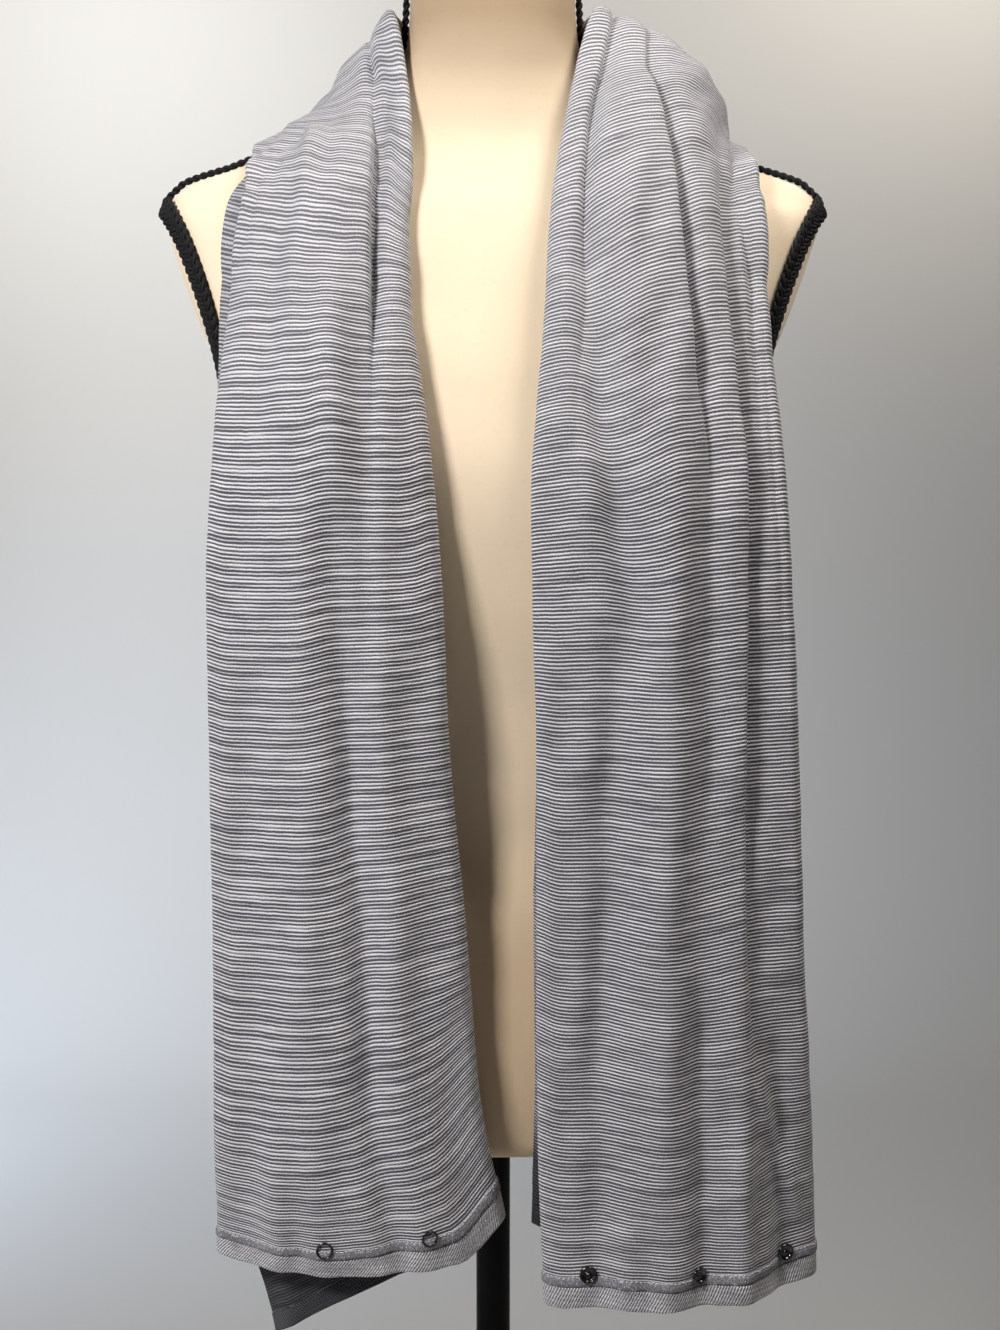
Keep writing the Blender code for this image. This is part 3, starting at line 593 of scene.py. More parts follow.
def creases(row, across, wide, on_left):
    """How far the two creases sink and lean each point, and the share of the height they may use."""
    sunk, leaning, used = (np.zeros_like(across) for _ in range(3))
    for letter, lean in (("a", on_left), ("b", on_left - 1.0)):
        deep = row[f"deep_{letter}"]
        away = np.abs(across - row[f"crease_{letter}"] * wide) / CREASE_WIDTH
        dip = np.exp(-((away**2 + CREASE_CUSP) ** CREASE_POWER))
        sunk += deep * dip
        leaning += lean * CREASE_LEAN * deep / 10 * dip
        used = np.maximum(used, dip * np.clip(deep / CREASE_FULL, 0, 1))
    return sunk, leaning, used


def pleat_room(row, across, wide):
    """How far a flap moves back to make room for the pleat's layers in front of it."""
    pleat = row["pleat"] * wide
    inside = np.clip((pleat - PLEAT_OVERLAP - across) / PLEAT_SETBACK, 0, 1)
    outside = np.clip((across - pleat) / (wide - pleat), 0, 1)
    return PLEAT_STEP * PLEAT_ROOM * row["fold"] * (1 - inside) * (1 - outside)


def least_clearance(points):
    """Clearance of the rearmost layer's middle, which is more where the shoulder cord runs."""
    on_cord = np.exp(-((points[..., 1] / CORD_REACH) ** 2))
    on_cord *= np.clip((points[..., 2] - CORD_FROM) / CORD_RISE, 0, 1)
    return LEAST_CLEARANCE + (CORD_CLEARANCE - LEAST_CLEARANCE) * on_cord


def drape(lengths):
    """The cloth's middle in mm: a row of points for each length from the first hem."""
    lengths = np.asarray(lengths, float)
    stations = np.interp(lengths, LENGTHS, STATIONS)
    inner, width, sideways, facing, forward = section_frame(stations)
    row = scarf_rows(stations)
    across, behind, in_slip, out_slip = section_columns(row, width)
    row = {name: values[:, None] for name, values in row.items()}
    wide = width[:, None]
    share = np.clip(across / wide, 0, 1)
    crown = 4 * share * (1 - share)
    on_left = (stations < len(SCARF_ROWS) / 2)[:, None]
    under = np.zeros_like(across, bool)
    under[:, : FLAP_POINTS + 1] = True
    under[:, -FLAP_POINTS - 1 :] = True

    sunk, leaning, used = creases(row, across, wide, on_left)
    lift = row["bow"] * crown - sunk - under * pleat_room(row, across, wide)
    lift += waves((LEFT_FOLDS, RIGHT_FOLDS), lengths, share, wide, ridge)
    lift += (cockle(lengths, across) + hem_pucker(lengths, across)) * np.where(under, -1, 1)
    height = behind + over_flaps(row, across, wide)
    height = height * (1 - CREASE_SINK * np.where(under, 0, used))
    hemward = np.where(on_left, -1, 1)
    slip = hemward * row["sag"] * crown
    slip -= hemward * waves((LEFT_PULLS, RIGHT_PULLS), lengths, share, wide, shear)
    slip += in_slip**SLIP_POWER * row["in_slip"] + out_slip**SLIP_POWER * row["out_slip"]

    across = across + np.where(under, 0, leaning)
    points = (
        inner[:, None]
        + sideways[:, None] * across[..., None]
        + facing[:, None] * (behind + lift)[..., None]
        + forward[:, None] * slip[..., None]
    )
    return off_the_form(points, least_clearance(points) + LAYER_CLEARANCE * height)


def at_end(side, distances):
    """Lengths from the first hem, which is the left one, of these distances from one side's own hem."""
    distances = np.asarray(distances, float)
    return distances if side == "left" else SCARF_LENGTH - distances


def unrolled(grid):
    """Distance across the cloth from its inner free edge to each point."""
    steps = np.linalg.norm(np.diff(grid, axis=1), axis=-1)
    return np.concatenate([np.zeros((len(grid), 1)), np.cumsum(steps, axis=1)], axis=1)


def facing_out(lengths):
    """Unit normals of the cloth at these lengths, on the side that is the front panel's face."""
    ahead, behind = drape(lengths + FACING_REACH), drape(lengths - FACING_REACH)
    across = np.gradient((ahead + behind) / 2, axis=1)
    return unit(np.cross(ahead - behind, across))


def add_mesh(name, points, faces, finish, cloth=None, sharp=180.0):
    """A smooth mesh piece from points in millimetres, with the cloth's own places on its points."""
    mesh = bpy.data.meshes.new(name)
    mesh.from_pydata((np.asarray(points, float) * MM).tolist(), [], faces)
    mesh.materials.append(finish)
    mesh.shade_smooth()
    if sharp < 180.0:
        mesh.set_sharp_from_angle(angle=math.radians(sharp))
    if cloth is not None:
        places = mesh.attributes.new("cloth", "FLOAT_VECTOR", "POINT")
        places.data.foreach_set("vector", np.asarray(cloth, np.float32).ravel())
    made = bpy.data.objects.new(name, mesh)
    bpy.context.scene.collection.objects.link(made)
    return made


def quads(at, flipped=False):
    """Faces between neighbours in a grid of point numbers."""
    corners = [at[:-1, :-1], at[1:, :-1], at[1:, 1:], at[:-1, 1:]]
    found = np.stack(corners, axis=-1).reshape(-1, 4)
    return (found[:, ::-1] if flipped else found).tolist()


def closed(at, axis):
    """A grid of point numbers whose first row (axis 0) or column (axis 1) comes again at its end."""
    return np.concatenate([at, np.take(at, [0], axis)], axis)


def wall_between(name, front, back, lengths, finish):
    """A closed piece of cloth between two grids of points that face each other."""
    rows, columns = front.shape[:2]
    count = rows * columns
    at = np.arange(count).reshape(rows, columns)
    faces = quads(at) + quads(at + count, flipped=True)
    edge = [*at[0], *at[1:, -1], *at[-1, -2::-1], *at[-2:0:-1, 0]]
    for a, b in zip(edge, edge[1:] + edge[:1]):
        faces.append((int(a), int(b), int(b) + count, int(a) + count))
    across = unrolled((front + back) / 2) * MM
    along = np.broadcast_to(np.asarray(lengths)[:, None], across.shape) * MM
    cloth = np.stack([np.stack([across, along, np.full_like(across, side)], axis=-1) for side in (0, 1)])
    return add_mesh(name, np.stack([front, back]).reshape(-1, 3), faces, finish, cloth, 60)


def cloth_piece(name, lengths, thickness, finish, lifted=0.0):
    """A stretch of the scarf as a thin piece, on the drape itself or lifted off its outer side."""
    lengths = np.asarray(lengths, float)
    middle = drape(lengths)
    out = facing_out(lengths)
    front = middle + out * (lifted + thickness / 2)
    back = middle + out * (lifted - thickness / 2)
    return wall_between(name, front, back, lengths, finish)


class Wire:
    """A node's output that takes part in Python arithmetic, which adds Math nodes to its finish."""

    def __init__(self, finish, socket):
        self.finish = finish
        self.socket = socket

    def math(self, operation, *values):
        sockets = dict(enumerate(values))
        return self.finish.node("ShaderNodeMath", {"operation": operation}, sockets)

    def __add__(self, other):
        return self.math("ADD", self, other)

    def __radd__(self, other):
        return self.math("ADD", other, self)

    def __sub__(self, other):
        return self.math("SUBTRACT", self, other)

    def __rsub__(self, other):
        return self.math("SUBTRACT", other, self)

    def __mul__(self, other):
        return self.math("MULTIPLY", self, other)

    def __rmul__(self, other):
        return self.math("MULTIPLY", other, self)

    def __truediv__(self, other):
        return self.math("DIVIDE", self, other)

    def wave(self):
        """A sine of the whole turns that this value counts, from 0 to 1."""
        return self.math("SINE", self * (2 * math.pi)) * 0.5 + 0.5

    def clamped(self):
        return self.math("MINIMUM", self.math("MAXIMUM", self, 0.0), 1.0)


class Finish:
    """A material built from nodes, each added by one method."""

    def __init__(self, name, roughness, metallic=0.0, sheen=0.0, coat=0.0):
        self.material = bpy.data.materials.new(name)
        self.material.use_nodes = True
        self.tree = self.material.node_tree
        self.shader = self.tree.nodes["Principled BSDF"]
        self.set("Roughness", roughness)
        self.set("Metallic", metallic)
        self.set("Sheen Weight", sheen)
        self.set("Sheen Roughness", 0.45)
        self.set("Coat Weight", coat)

    def set(self, name, value):
        """Gives a socket of the shader a number, a colour or a wire."""
        if isinstance(value, Wire):
            self.tree.links.new(value.socket, self.shader.inputs[name])
        else:
            self.shader.inputs[name].default_value = value

    def node(self, kind, settings=None, sockets=None, out=0):
        """A node of this type, with its settings first and then its sockets' values or wires."""
        made = self.tree.nodes.new(kind)
        for setting, value in (settings or {}).items():
            setattr(made, setting, value)
        for name, value in (sockets or {}).items():
            if isinstance(value, Wire):
                self.tree.links.new(value.socket, made.inputs[name])
            else:
                made.inputs[name].default_value = value
        return Wire(self, made.outputs[out])

    def mix(self, share, first, second):
        """A colour between two colours or wires."""
        sockets = {0: share, 6: opaque(first), 7: opaque(second)}
        return self.node("ShaderNodeMix", {"data_type": "RGBA"}, sockets, out=2)

    def tinted(self, colour, share, tint):
        """A colour multiplied by a tint as far as `share` says."""
        settings = {"data_type": "RGBA", "blend_type": "MULTIPLY"}
        return self.node("ShaderNodeMix", settings, {0: share, 6: opaque(colour), 7: opaque(tint)}, out=2)

    def noise(self, vector, scale, detail=2.0, roughness=0.5):
        """Noise of one scale, or of a scale for each axis."""
        if isinstance(scale, tuple):
            vector, scale = self.stretched(vector, scale), 1.0
        sockets = {"Vector": vector, "Scale": scale, "Detail": detail, "Roughness": roughness}
        return self.node("ShaderNodeTexNoise", None, sockets)

    def stretched(self, vector, stretch):
        """A vector scaled separately along its three axes."""
        return self.node("ShaderNodeVectorMath", {"operation": "MULTIPLY"}, {0: vector, 1: stretch})

    def cloth_places(self):
        """The cloth's own places, across it and along it, in metres, and 0 outside or 1 inside."""
        vector = self.node("ShaderNodeAttribute", {"attribute_name": "cloth"}, out="Vector")
        return vector, [self.axis_of(vector, axis) for axis in range(3)]

    def axis_of(self, vector, axis):
        return self.node("ShaderNodeSeparateXYZ", None, {0: vector}, out=axis)

    def from_hem(self, along):
        """Metres from the nearer hem."""
        return along.math("MINIMUM", along, SCARF_LENGTH * MM - along)

    def object_places(self):
        return self.node("ShaderNodeTexCoord", None, None, out="Object")

    def bump(self, height, distance, strength=1.0):
        sockets = {"Height": height, "Distance": distance, "Strength": strength}
        self.set("Normal", self.node("ShaderNodeBump", None, sockets))


def opaque(colour):
    return colour if isinstance(colour, Wire) else (*colour, 1)


def striped_jersey(colours, sizes):
    """Fine raised white lines between heather grey ones, which its own weight draws apart."""
    finish = Finish("striped_jersey", 0.92, sheen=0.14)
    vector, (across, along, inside) = finish.cloth_places()
    from_hem = finish.from_hem(along)
    on_left = ((LEFT_HALF - along) * 12.0).clamped()
    sway = finish.noise(vector, (9.0, 4.0, 1.0), 1.0)
    shiver = finish.noise(vector, (160.0, 70.0, 1.0), 1.0)
    pulled = from_hem - from_hem * from_hem * sizes.stripe_stretch
    lines = (pulled + sway * 0.0022 + shiver * 0.0005) / sizes.stripe_pitch
    stripe = lines.wave()
    feeds = (lines * 0.262 + sway * 0.8).wave()
    slub = finish.noise(vector, (45.0, 0.9 / sizes.stripe_pitch, 1.0), 2.0)
    broad = finish.noise(vector, (15.0, 130.0, 1.0), 3.0, 0.6)
    uneven = (feeds - 0.5) * (0.18 + 0.52 * on_left) + (slub - 0.5) * 1.35 + (broad - 0.5) * 1.5
    heather = finish.noise(vector, (1300.0, 1900.0, 1.0), 2.0, 0.6)
    upper = ((from_hem - UPPER_CLOTH) * 6.0).clamped()
    # Painted shade: below its upper stretch the right tail shows fewer white lines, so it is darker where
    # it gets less light
    line_share_and_shade = 0.37 - (1 - on_left) * (1 - upper) * 0.13
    line = ((stripe - 0.5) * 1.8 + line_share_and_shade + uneven + (heather - 0.5) * 1.4).clamped()
    grey = finish.mix((heather * 2.6 - 0.95).clamped(), colours.heather_dark, colours.heather_light)
    white = finish.mix((heather * 2.2 - 0.45).clamped(), colours.white_shade, colours.white_yarn)
    faded = upper * 0.24 + 0.04
    striped = finish.mix(faded, finish.mix(line, grey, white), colours.worn)
    # Painted shadow: near the hems the inner side, which shows on the hanging flap, darkens almost to
    # black; elsewhere it is only a little darker
    hem_shadow = ((HEM_SHADOW_REACH - from_hem) * 30.0).clamped()
    behind = finish.tinted(striped, 0.20 + hem_shadow * 0.74, colours.reverse)
    finish.set("Base Color", finish.mix(inside, striped, behind))
    courses = (across / COURSE_PITCH).wave()
    finish.bump(stripe * 0.9 + courses * 0.12 + heather * 0.4, 0.0006, 0.9)
    return finish.material


def ribbed_binding(colours):
    """The hem's binding: slanting dashes of light yarn on grey rib."""
    finish = Finish("ribbed_binding", 0.92, sheen=0.12)
    vector, (across, along, inside) = finish.cloth_places()
    shiver = finish.noise(vector, (260.0, 260.0, 1.0), 1.0)
    slant = ((across + along * 0.55 + shiver * 0.0008) / SLANT_PITCH).wave()
    rows = ((along - across * 0.10 + shiver * 0.0009) / SLANT_ROWS).wave()
    patch = finish.noise(vector, 55.0, 3.0, 0.6)
    heather = finish.noise(vector, (1300.0, 1300.0, 1.0), 2.0)
    dash = (slant * (0.80 + rows * 0.30) * 2.0 - 0.75).clamped()
    light = (dash * (patch * 2.6 - 0.55)).clamped()
    grey = finish.mix((heather * 2.4 - 0.8).clamped(), colours.heather_dark, colours.binding)
    outside = finish.mix(light, grey, colours.white_yarn)
    # The binding's inner side is nearly black: painted shadow where it shows on the hanging flap
    behind = finish.tinted(outside, 0.96, colours.reverse)
    finish.set("Base Color", finish.mix(inside, outside, behind))
    finish.bump(slant * 0.7 + rows * 0.3 + heather * 0.4, 0.0006, 0.9)
    return finish.material


def seam_cover(colours, sizes):
    """The flat seam above the binding, fuzzy with looped grey thread."""
    finish = Finish("seam_cover", 0.95, sheen=0.15)
    vector, (_, along, _) = finish.cloth_places()
    fuzz = finish.noise(vector, (1500.0, 1100.0, 1.0), 3.0, 0.65)
    patch = finish.noise(vector, 190.0, 3.0, 0.6)
    tufts = finish.noise(vector, (700.0, 420.0, 1.0), 2.0)
    colour = finish.mix((fuzz * 3.6 - 1.3).clamped(), colours.seam_shade, colours.seam_thread)
    colour = finish.mix((tufts * 6.0 - 3.1).clamped(), colour, colours.white_yarn)
    from_hem = finish.from_hem(along)
    # Painted shadow: a thin dark line along the seam's lower edge, where it meets the binding
    painted_seam_shadow = (1 - (from_hem - sizes.band_height - 0.0004) * 1400.0).clamped()
    colour = finish.tinted(colour, painted_seam_shadow, SEAM_SHADOW_TINT)
    finish.set("Base Color", finish.tinted(colour, (patch * 2.0 - 0.75).clamped(), PATCH_TINT))
    finish.bump(fuzz + patch * 0.5, 0.0006, 0.9)
    return finish.material


def yarn(name, light, dark, scale, roughness, gloss=0.5):
    """Thread or braid yarn, with fine twisted fibres."""
    finish = Finish(name, roughness)
    finish.set("Specular IOR Level", gloss)
    places = finish.object_places()
    fibres = finish.noise(finish.stretched(places, (1.0, 1.0, 0.35)), scale, 3.0, 0.6)
    finish.set("Base Color", finish.mix((fibres * 2 - 0.5).clamped(), dark, light))
    finish.bump(fibres, 0.0003, 0.7)
    return finish.material


def gunmetal(colours):
    finish = Finish("gunmetal_snap", 0.25, metallic=0.9, coat=0.8)
    places = finish.object_places()
    wear = finish.noise(places, 2400.0, 3.0, 0.6)
    colour = finish.mix((wear * 2 - 0.5).clamped(), colours.gunmetal, colours.gunmetal_worn)
    finish.set("Base Color", colour)
    finish.set("Roughness", wear * 0.16 + 0.14)
    finish.bump(wear, 0.00005, 0.5)
    return finish.material


def form_cover(colours):
    """Cream jersey stretched over the form, with a fine knit and a few pills."""
    finish = Finish("form_cover", 0.88, sheen=0.2)
    places = finish.object_places()
    knit = finish.noise(places, (1500.0, 1500.0, 900.0), 2.0)
    cloud = finish.noise(places, 9.0, 3.0)
    pills = finish.noise(places, 170.0, 3.0, 0.7)
    colour = finish.mix((cloud * 1.6 - 0.3).clamped(), colours.cover_shade, colours.cover)
    colour = finish.tinted(colour, (pills - 0.58).clamped() * 1.4, PILL_TINT)
    colour = finish.tinted(colour, (knit - 0.4).clamped() * 0.35, KNIT_TINT)
    height = finish.axis_of(places, 2)
    # Painted shade: the cover turns browner from the neck's base upwards, standing in for the shade that
    # falls on the neck
    painted_neck_shade = ((height - NECK_SHADE_FROM) * 12.0).clamped()
    colour = finish.tinted(colour, painted_neck_shade, NECK_SHADE_TINT)
    # Painted shade: the cover darkens from just above the waist downwards, standing in for the light
    # falling off towards the bottom
    painted_lower_shade = ((LOWER_SHADE_FROM - height) * 9.0).clamped()
    finish.set("Base Color", finish.tinted(colour, painted_lower_shade, LOWER_SHADE_TINT))
    finish.bump(knit * 0.4 + (pills - 0.6).clamped() * 1.5, 0.0005, 0.5)
    return finish.material


def stand_metal(colours):
    finish = Finish("stand_metal", 0.5)
    finish.set("Specular IOR Level", 0.1)
    places = finish.object_places()
    grain = finish.noise(places, 420.0, 4.0, 0.6)
    rubs = finish.noise(places, 26.0, 3.0)
    finish.set("Base Color", finish.mix((rubs * 2 - 0.9).clamped(), colours.stand, colours.stand_worn))
    finish.set("Roughness", rubs * 0.25 + grain * 0.12 + 0.24)
    finish.bump(grain, 0.0002, 0.4)
    return finish.material


def backdrop_paint(colours):
    finish = Finish("backdrop_paint", 0.9)
    places = finish.object_places()
    cloud = finish.noise(places, 1.3, 2.0)
    finish.set("Base Color", finish.mix(cloud, colours.floor, colours.floor_shade))
    return finish.material


def cloth_patch(low, high, rows=9):
    """A strip of cloth between two lengths, to be read at any length and unrolled distance."""
    lengths = np.linspace(low, high, rows)
    grid = drape(lengths)
    return dict(lengths=lengths, grid=grid, out=facing_out(lengths), across=unrolled(grid)[rows // 2])


def on_cloth(patch, along, across):
    """Points and outward normals of the cloth at these lengths and unrolled distances."""
    row = np.interp(along, patch["lengths"], np.arange(len(patch["lengths"])))
    column = np.interp(across, patch["across"], np.arange(len(patch["across"])))
    i = np.minimum(row.astype(int), len(patch["lengths"]) - 2)
    j = np.minimum(column.astype(int), len(patch["across"]) - 2)
    u, v = (row - i)[:, None], (column - j)[:, None]

    def read(values):
        low = values[i, j] * (1 - v) + values[i, j + 1] * v
        high = values[i + 1, j] * (1 - v) + values[i + 1, j + 1] * v
        return low * (1 - u) + high * u

    return read(patch["grid"]), unit(read(patch["out"]))


def tube_rings(path, up, radius, sides, looped=False):
    """Points and faces of a round tube along a path, whose rings start on the `up` side."""
    path, up = np.asarray(path, float), np.asarray(up, float)
    along = headings(path, looped)
    up = unit(up - along * np.sum(up * along, axis=1, keepdims=True))
    side = np.cross(along, up)
    angles = 2 * math.pi * np.arange(sides) / sides
    radius = np.broadcast_to(radius, len(path))[:, None, None]
    ring = up[:, None] * np.cos(angles)[:, None] + side[:, None] * np.sin(angles)[:, None]
    points = path[:, None] + ring * radius
    at = np.arange(len(path) * sides).reshape(len(path), sides)
    at = closed(at, 1)
    if looped:
        at = closed(at, 0)
    faces = quads(at.T)
    if not looped:
        faces += [tuple(reversed(range(sides))), tuple(at[-1, :-1].tolist())]
    return points.reshape(-1, 3), faces


def joined(parts):
    """Several (points, faces) as one."""
    points, faces, count = [], [], 0
    for part_points, part_faces in parts:
        points.append(part_points)
        faces += [tuple(corner + count for corner in face) for face in part_faces]
        count += len(part_points)
    return np.concatenate(points), faces


def turned_rings(profile, sides, closed_profile=False):
    """Points and faces of a shape turned round Z from (radius, height) pairs."""
    profile = np.asarray(profile, float)
    angles = 2 * math.pi * np.arange(sides) / sides
    points = np.stack(
        [
            np.outer(np.cos(angles), profile[:, 0]),
            np.outer(np.sin(angles), profile[:, 0]),
            np.broadcast_to(profile[:, 1], (sides, len(profile))),
        ],
        axis=-1,
    ).reshape(-1, 3)
    at = np.arange(sides * len(profile)).reshape(sides, len(profile))
    at = closed(at, 0)
    if closed_profile:
        at = closed(at, 1)
    faces = quads(at)
    if not closed_profile:
        faces += [tuple(reversed(at[:-1, 0].tolist())), tuple(at[:-1, -1].tolist())]
    return points, faces


def rounded_profile(profile, radius, steps):
    """(radius, height) pairs whose inner corners are rounded by cutting in this far."""
    rounded = [profile[0]]
    for before, corner, after in zip(profile, profile[1:], profile[2:]):
        before, corner, after = (np.array(p, float) for p in (before, corner, after))
        first, last = (
            corner + (end - corner) * min(CORNER_SHARE, radius / np.linalg.norm(end - corner))
            for end in (before, after)
        )
        for share in np.linspace(0, 1, steps + 1):
            rounded.append((1 - share) ** 2 * first + 2 * share * (1 - share) * corner + share**2 * last)
    return rounded + [profile[-1]]


def finished(piece, slot, *nodes):
    """Seats a piece on the part's body in place of its CAD nodes. Its slot is not used."""
    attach(piece, BODY)
    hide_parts(*nodes)
    return piece


def make_cloth(sizes, colours):
    jersey = striped_jersey(colours, sizes)
    thickness = sizes.cloth_thickness / MM
    seam = sizes.band_height / MM + GAP
    tail = np.linspace(seam, NECK_STRETCH, round((NECK_STRETCH - seam) / CLOTH_STEP))
    neck_rows = round((SCARF_LENGTH - 2 * NECK_STRETCH) / CLOTH_STEP)
    neck_end = NECK_STRETCH + NECK_GAP
    stretches = {
        "left_tail": at_end("left", tail),
        "neck_wrap": np.linspace(neck_end, SCARF_LENGTH - neck_end, neck_rows),
        "right_tail": at_end("right", tail)[::-1],
    }
    for node, lengths in stretches.items():
        piece = cloth_piece(f"{node}_cloth", lengths, thickness, jersey)
        finished(piece, "jersey", node)


def rounded_over(depth, reach, least):
    """Share of the full thickness at this depth from an edge that is rounded over `reach`."""
    return np.sqrt(np.clip(1 - (1 - np.minimum(depth / reach, 1)) ** 2, least, 1))


def make_hems(sizes, colours):
    binding = ribbed_binding(colours)
    height = sizes.band_height / MM
    up = np.array(BINDING_LEVELS) * height / BINDING_LEVELS[-1]
    share = np.minimum(rounded_over(up, BINDING_FOLD, 0.02), rounded_over(height - up, BINDING_TOP, 0.3))
    thick = sizes.band_thickness / MM * share[:, None, None]
    for side, way in (("left", 1), ("right", -1)):
        piece = cloth_piece(f"{side}_hem_binding", at_end(side, up)[::way], thick[::way], binding)
        finished(piece, "hem_binding", f"{side}_hem_band")


def loop_paths(low, high, width, pitch):
    """Two threads that loop from one edge of a seam to the other, half a stitch apart."""
    at = np.arange(LOOP_POINTS * int(width / pitch) + 1) / LOOP_POINTS * pitch
    for phase in (0.0, 0.5):
        turns = at / pitch + phase
        swing = 0.5 + 0.5 * np.sin(2 * math.pi * turns)
        lean = LOOP_LEAN * pitch * np.sin(4 * math.pi * turns)
        along = low + (high - low) * (LOOP_LOW + LOOP_SWING * swing)
        yield along, np.clip(at + lean, 0.2, width - 0.2)


def dash_paths(high, width, pitch):
    """Short stitches in a row along a seam's upper edge, none quite like the next."""
    shares = np.array(DASH_SHARES)
    for k in range(int(width / pitch)):
        drift = 0.25 * math.sin(k * 1.7) + 0.15 * math.sin(k * 0.61)
        yield np.full(len(shares), high + drift * 0.6), (k + DASH_START) * pitch + shares * pitch


def make_seams(sizes, colours):
    cover = seam_cover(colours, sizes)
    thread = yarn("seam_thread", colours.seam_thread, colours.seam_shade, 2600.0, 0.9)
    light = yarn("stitch_thread", colours.white_yarn, colours.heather_light, 2600.0, 0.9)
    thickness = sizes.strip_thickness / MM
    surface = sizes.cloth_thickness / MM / 2
    lifted = surface + thickness / 2 + SEAM_LIFT
    seam = sizes.band_height / MM + GAP
    top = seam + sizes.strip_height / MM
    pitch = sizes.stitch_length / MM
    edge = thickness * np.array(SEAM_EDGE)[:, None, None]
    for side in ("left", "right"):
        lengths = np.sort(at_end(side, np.linspace(seam, top, len(SEAM_EDGE))))
        strip = cloth_piece(f"{side}_seam_cover", lengths, edge, cover, lifted)
        finished(strip, "seam_stitching", f"{side}_seam_strip")
        patch = cloth_patch(*np.sort(at_end(side, (seam - 1, top + 2))))
        low, high = at_end(side, (seam, top))
        width = patch["across"][-1]
        loop_rise = np.array([[lifted + thickness * 0.6]])
        dash_rise = np.array(DASH_RISES)[:, None] + surface
        for name, paths, rise, radius, sides, finish in (
            ("loops", loop_paths(low, high, width, pitch), loop_rise, LOOP_THREAD, 5, thread),
            ("stitches", dash_paths(high, width, pitch), dash_rise, DASH_THREAD, 6, light),
        ):
            tubes = []
            for along, across in paths:
                points, out = on_cloth(patch, along, across)
                tubes.append(tube_rings(points + out * rise, out, radius, sides))
            piece = add_mesh(f"{side}_seam_{name}", *joined(tubes), finish)
            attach(piece, BODY)


def ring_snap():
    """An open prong ring, rounded all over."""
    angles = 2 * math.pi * np.arange(RING["points"]) / RING["points"]
    radius = RING["middle"] + RING["half_wide"] * np.cos(angles)
    height = RING["half_high"] * (1 + np.sin(angles))
    return turned_rings(np.stack([radius, height], axis=-1), SNAP_SIDES, closed_profile=True)


def socket_snap():
    """A socket: a rolled rim round a dark well, with a small boss in its middle."""
    return turned_rings(rounded_profile([*SOCKET_RIM, *SOCKET_BOSS], 0.35, 3), SNAP_SIDES)


def snap_rows(side, panel_start, inner_end, outer_start):
    """Name, shape, unrolled distance of the fold, sign and places of each row on one end."""
    if side == "left":
        return (
            ("left_snap_front", ring_snap, panel_start, 1, (43.0, 103.0)),
            ("left_snap_back", ring_snap, inner_end, -1, (23.0, 89.0)),
        )
    return (
        ("right_snap_front", socket_snap, panel_start, 1, (21.5, 87.0, 149.0)),
        ("right_snap_back", socket_snap, outer_start, 1, (30.0, 96.0)),
    )


def set_snap(name, shape, patch, length, at, lift, metal):
    """One snap on the cloth's outer side, square to the cloth under its whole width."""
    reach = np.array([at, at - SNAP_REACH, at + SNAP_REACH])
    points, out = on_cloth(patch, np.full(3, length), reach)
    along = unit(points[2] - points[1])
    normal = unit(out[0] - along * np.dot(out[0], along))
    seat = (points[1] + points[2]) / 2 + normal * lift
    axes = np.stack([along, np.cross(normal, along), normal])
    rings, faces = shape()
    return add_mesh(f"{name}_snap", rings @ axes + seat, faces, metal, sharp=50)


def make_snaps(sizes, colours):
    metal = gunmetal(colours)
    lift = sizes.cloth_thickness / MM / 2 + sizes.strip_thickness / MM + SNAP_LIFT
    for side in ("left", "right"):
        length = at_end(side, SNAP_ABOVE_HEM)
        patch = cloth_patch(length - 2, length + 2, 3)
        marks = patch["across"]
        ends = (marks[FLAP_POINTS + ARC_POINTS], marks[FLAP_POINTS - 1], marks[-FLAP_POINTS])
        for row, shape, fold, sign, places in snap_rows(side, *ends):
            for number, place in enumerate(places, 1):
                name = f"{row}_{number}"
                snap = set_snap(name, shape, patch, length, fold + sign * place, lift, metal)
                finished(snap, "gunmetal", name)


def form_ring(z, inset=0.0):
    half, front, back, power = smooth_columns(FORM_ROWS, np.array([z]))[0]
    angles = 2 * math.pi * np.arange(FORM_SIDES) / FORM_SIDES
    c, s = np.cos(angles), np.sin(angles)
    x = (half - inset) * np.sign(c) * np.abs(c) ** (2 / power)
    y = (np.where(s > 0, back, front) - inset) * np.sign(s) * np.abs(s) ** (2 / power)
    return np.stack([x, y, np.full_like(x, z)], axis=-1)


def make_form(sizes, colours):
    low, high = FORM_ROWS[0][0], FORM_ROWS[-1][0]
    turns = np.linspace(0, math.pi / 2, FORM_EDGE_STEPS + 1)[:-1]
    edge = [(FORM_EDGE * (1 - math.cos(turn)), FORM_EDGE * (1 - math.sin(turn))) for turn in turns]
    levels = round((high - low - 2 * FORM_EDGE) / FORM_STEP) + 1
    rings = [form_ring(low + up, inset) for up, inset in edge]
    rings += [form_ring(z) for z in np.linspace(low + FORM_EDGE, high - FORM_EDGE, levels)]
    rings += [form_ring(high - down, inset) for down, inset in reversed(edge)]
    at = np.arange(len(rings) * FORM_SIDES).reshape(len(rings), FORM_SIDES)
    faces = quads(closed(at, 1).T) + [at[0, ::-1].tolist(), at[-1].tolist()]
    form = add_mesh("form_cover", np.concatenate(rings), faces, form_cover(colours))
    finished(form, "form_cover", "torso")


def armhole_loop(side, points):
    turn = 2 * math.pi * np.arange(points) / points
    up = ARMHOLE["high"] * np.sin(turn)
    x = side * (ARMHOLE["x"] + ARMHOLE["lean"] * up)
    loop = np.stack([x, -ARMHOLE["deep"] * np.cos(turn), ARMHOLE["z"] + up], axis=-1)
    return off_the_form(loop, 0.5, exactly=True)


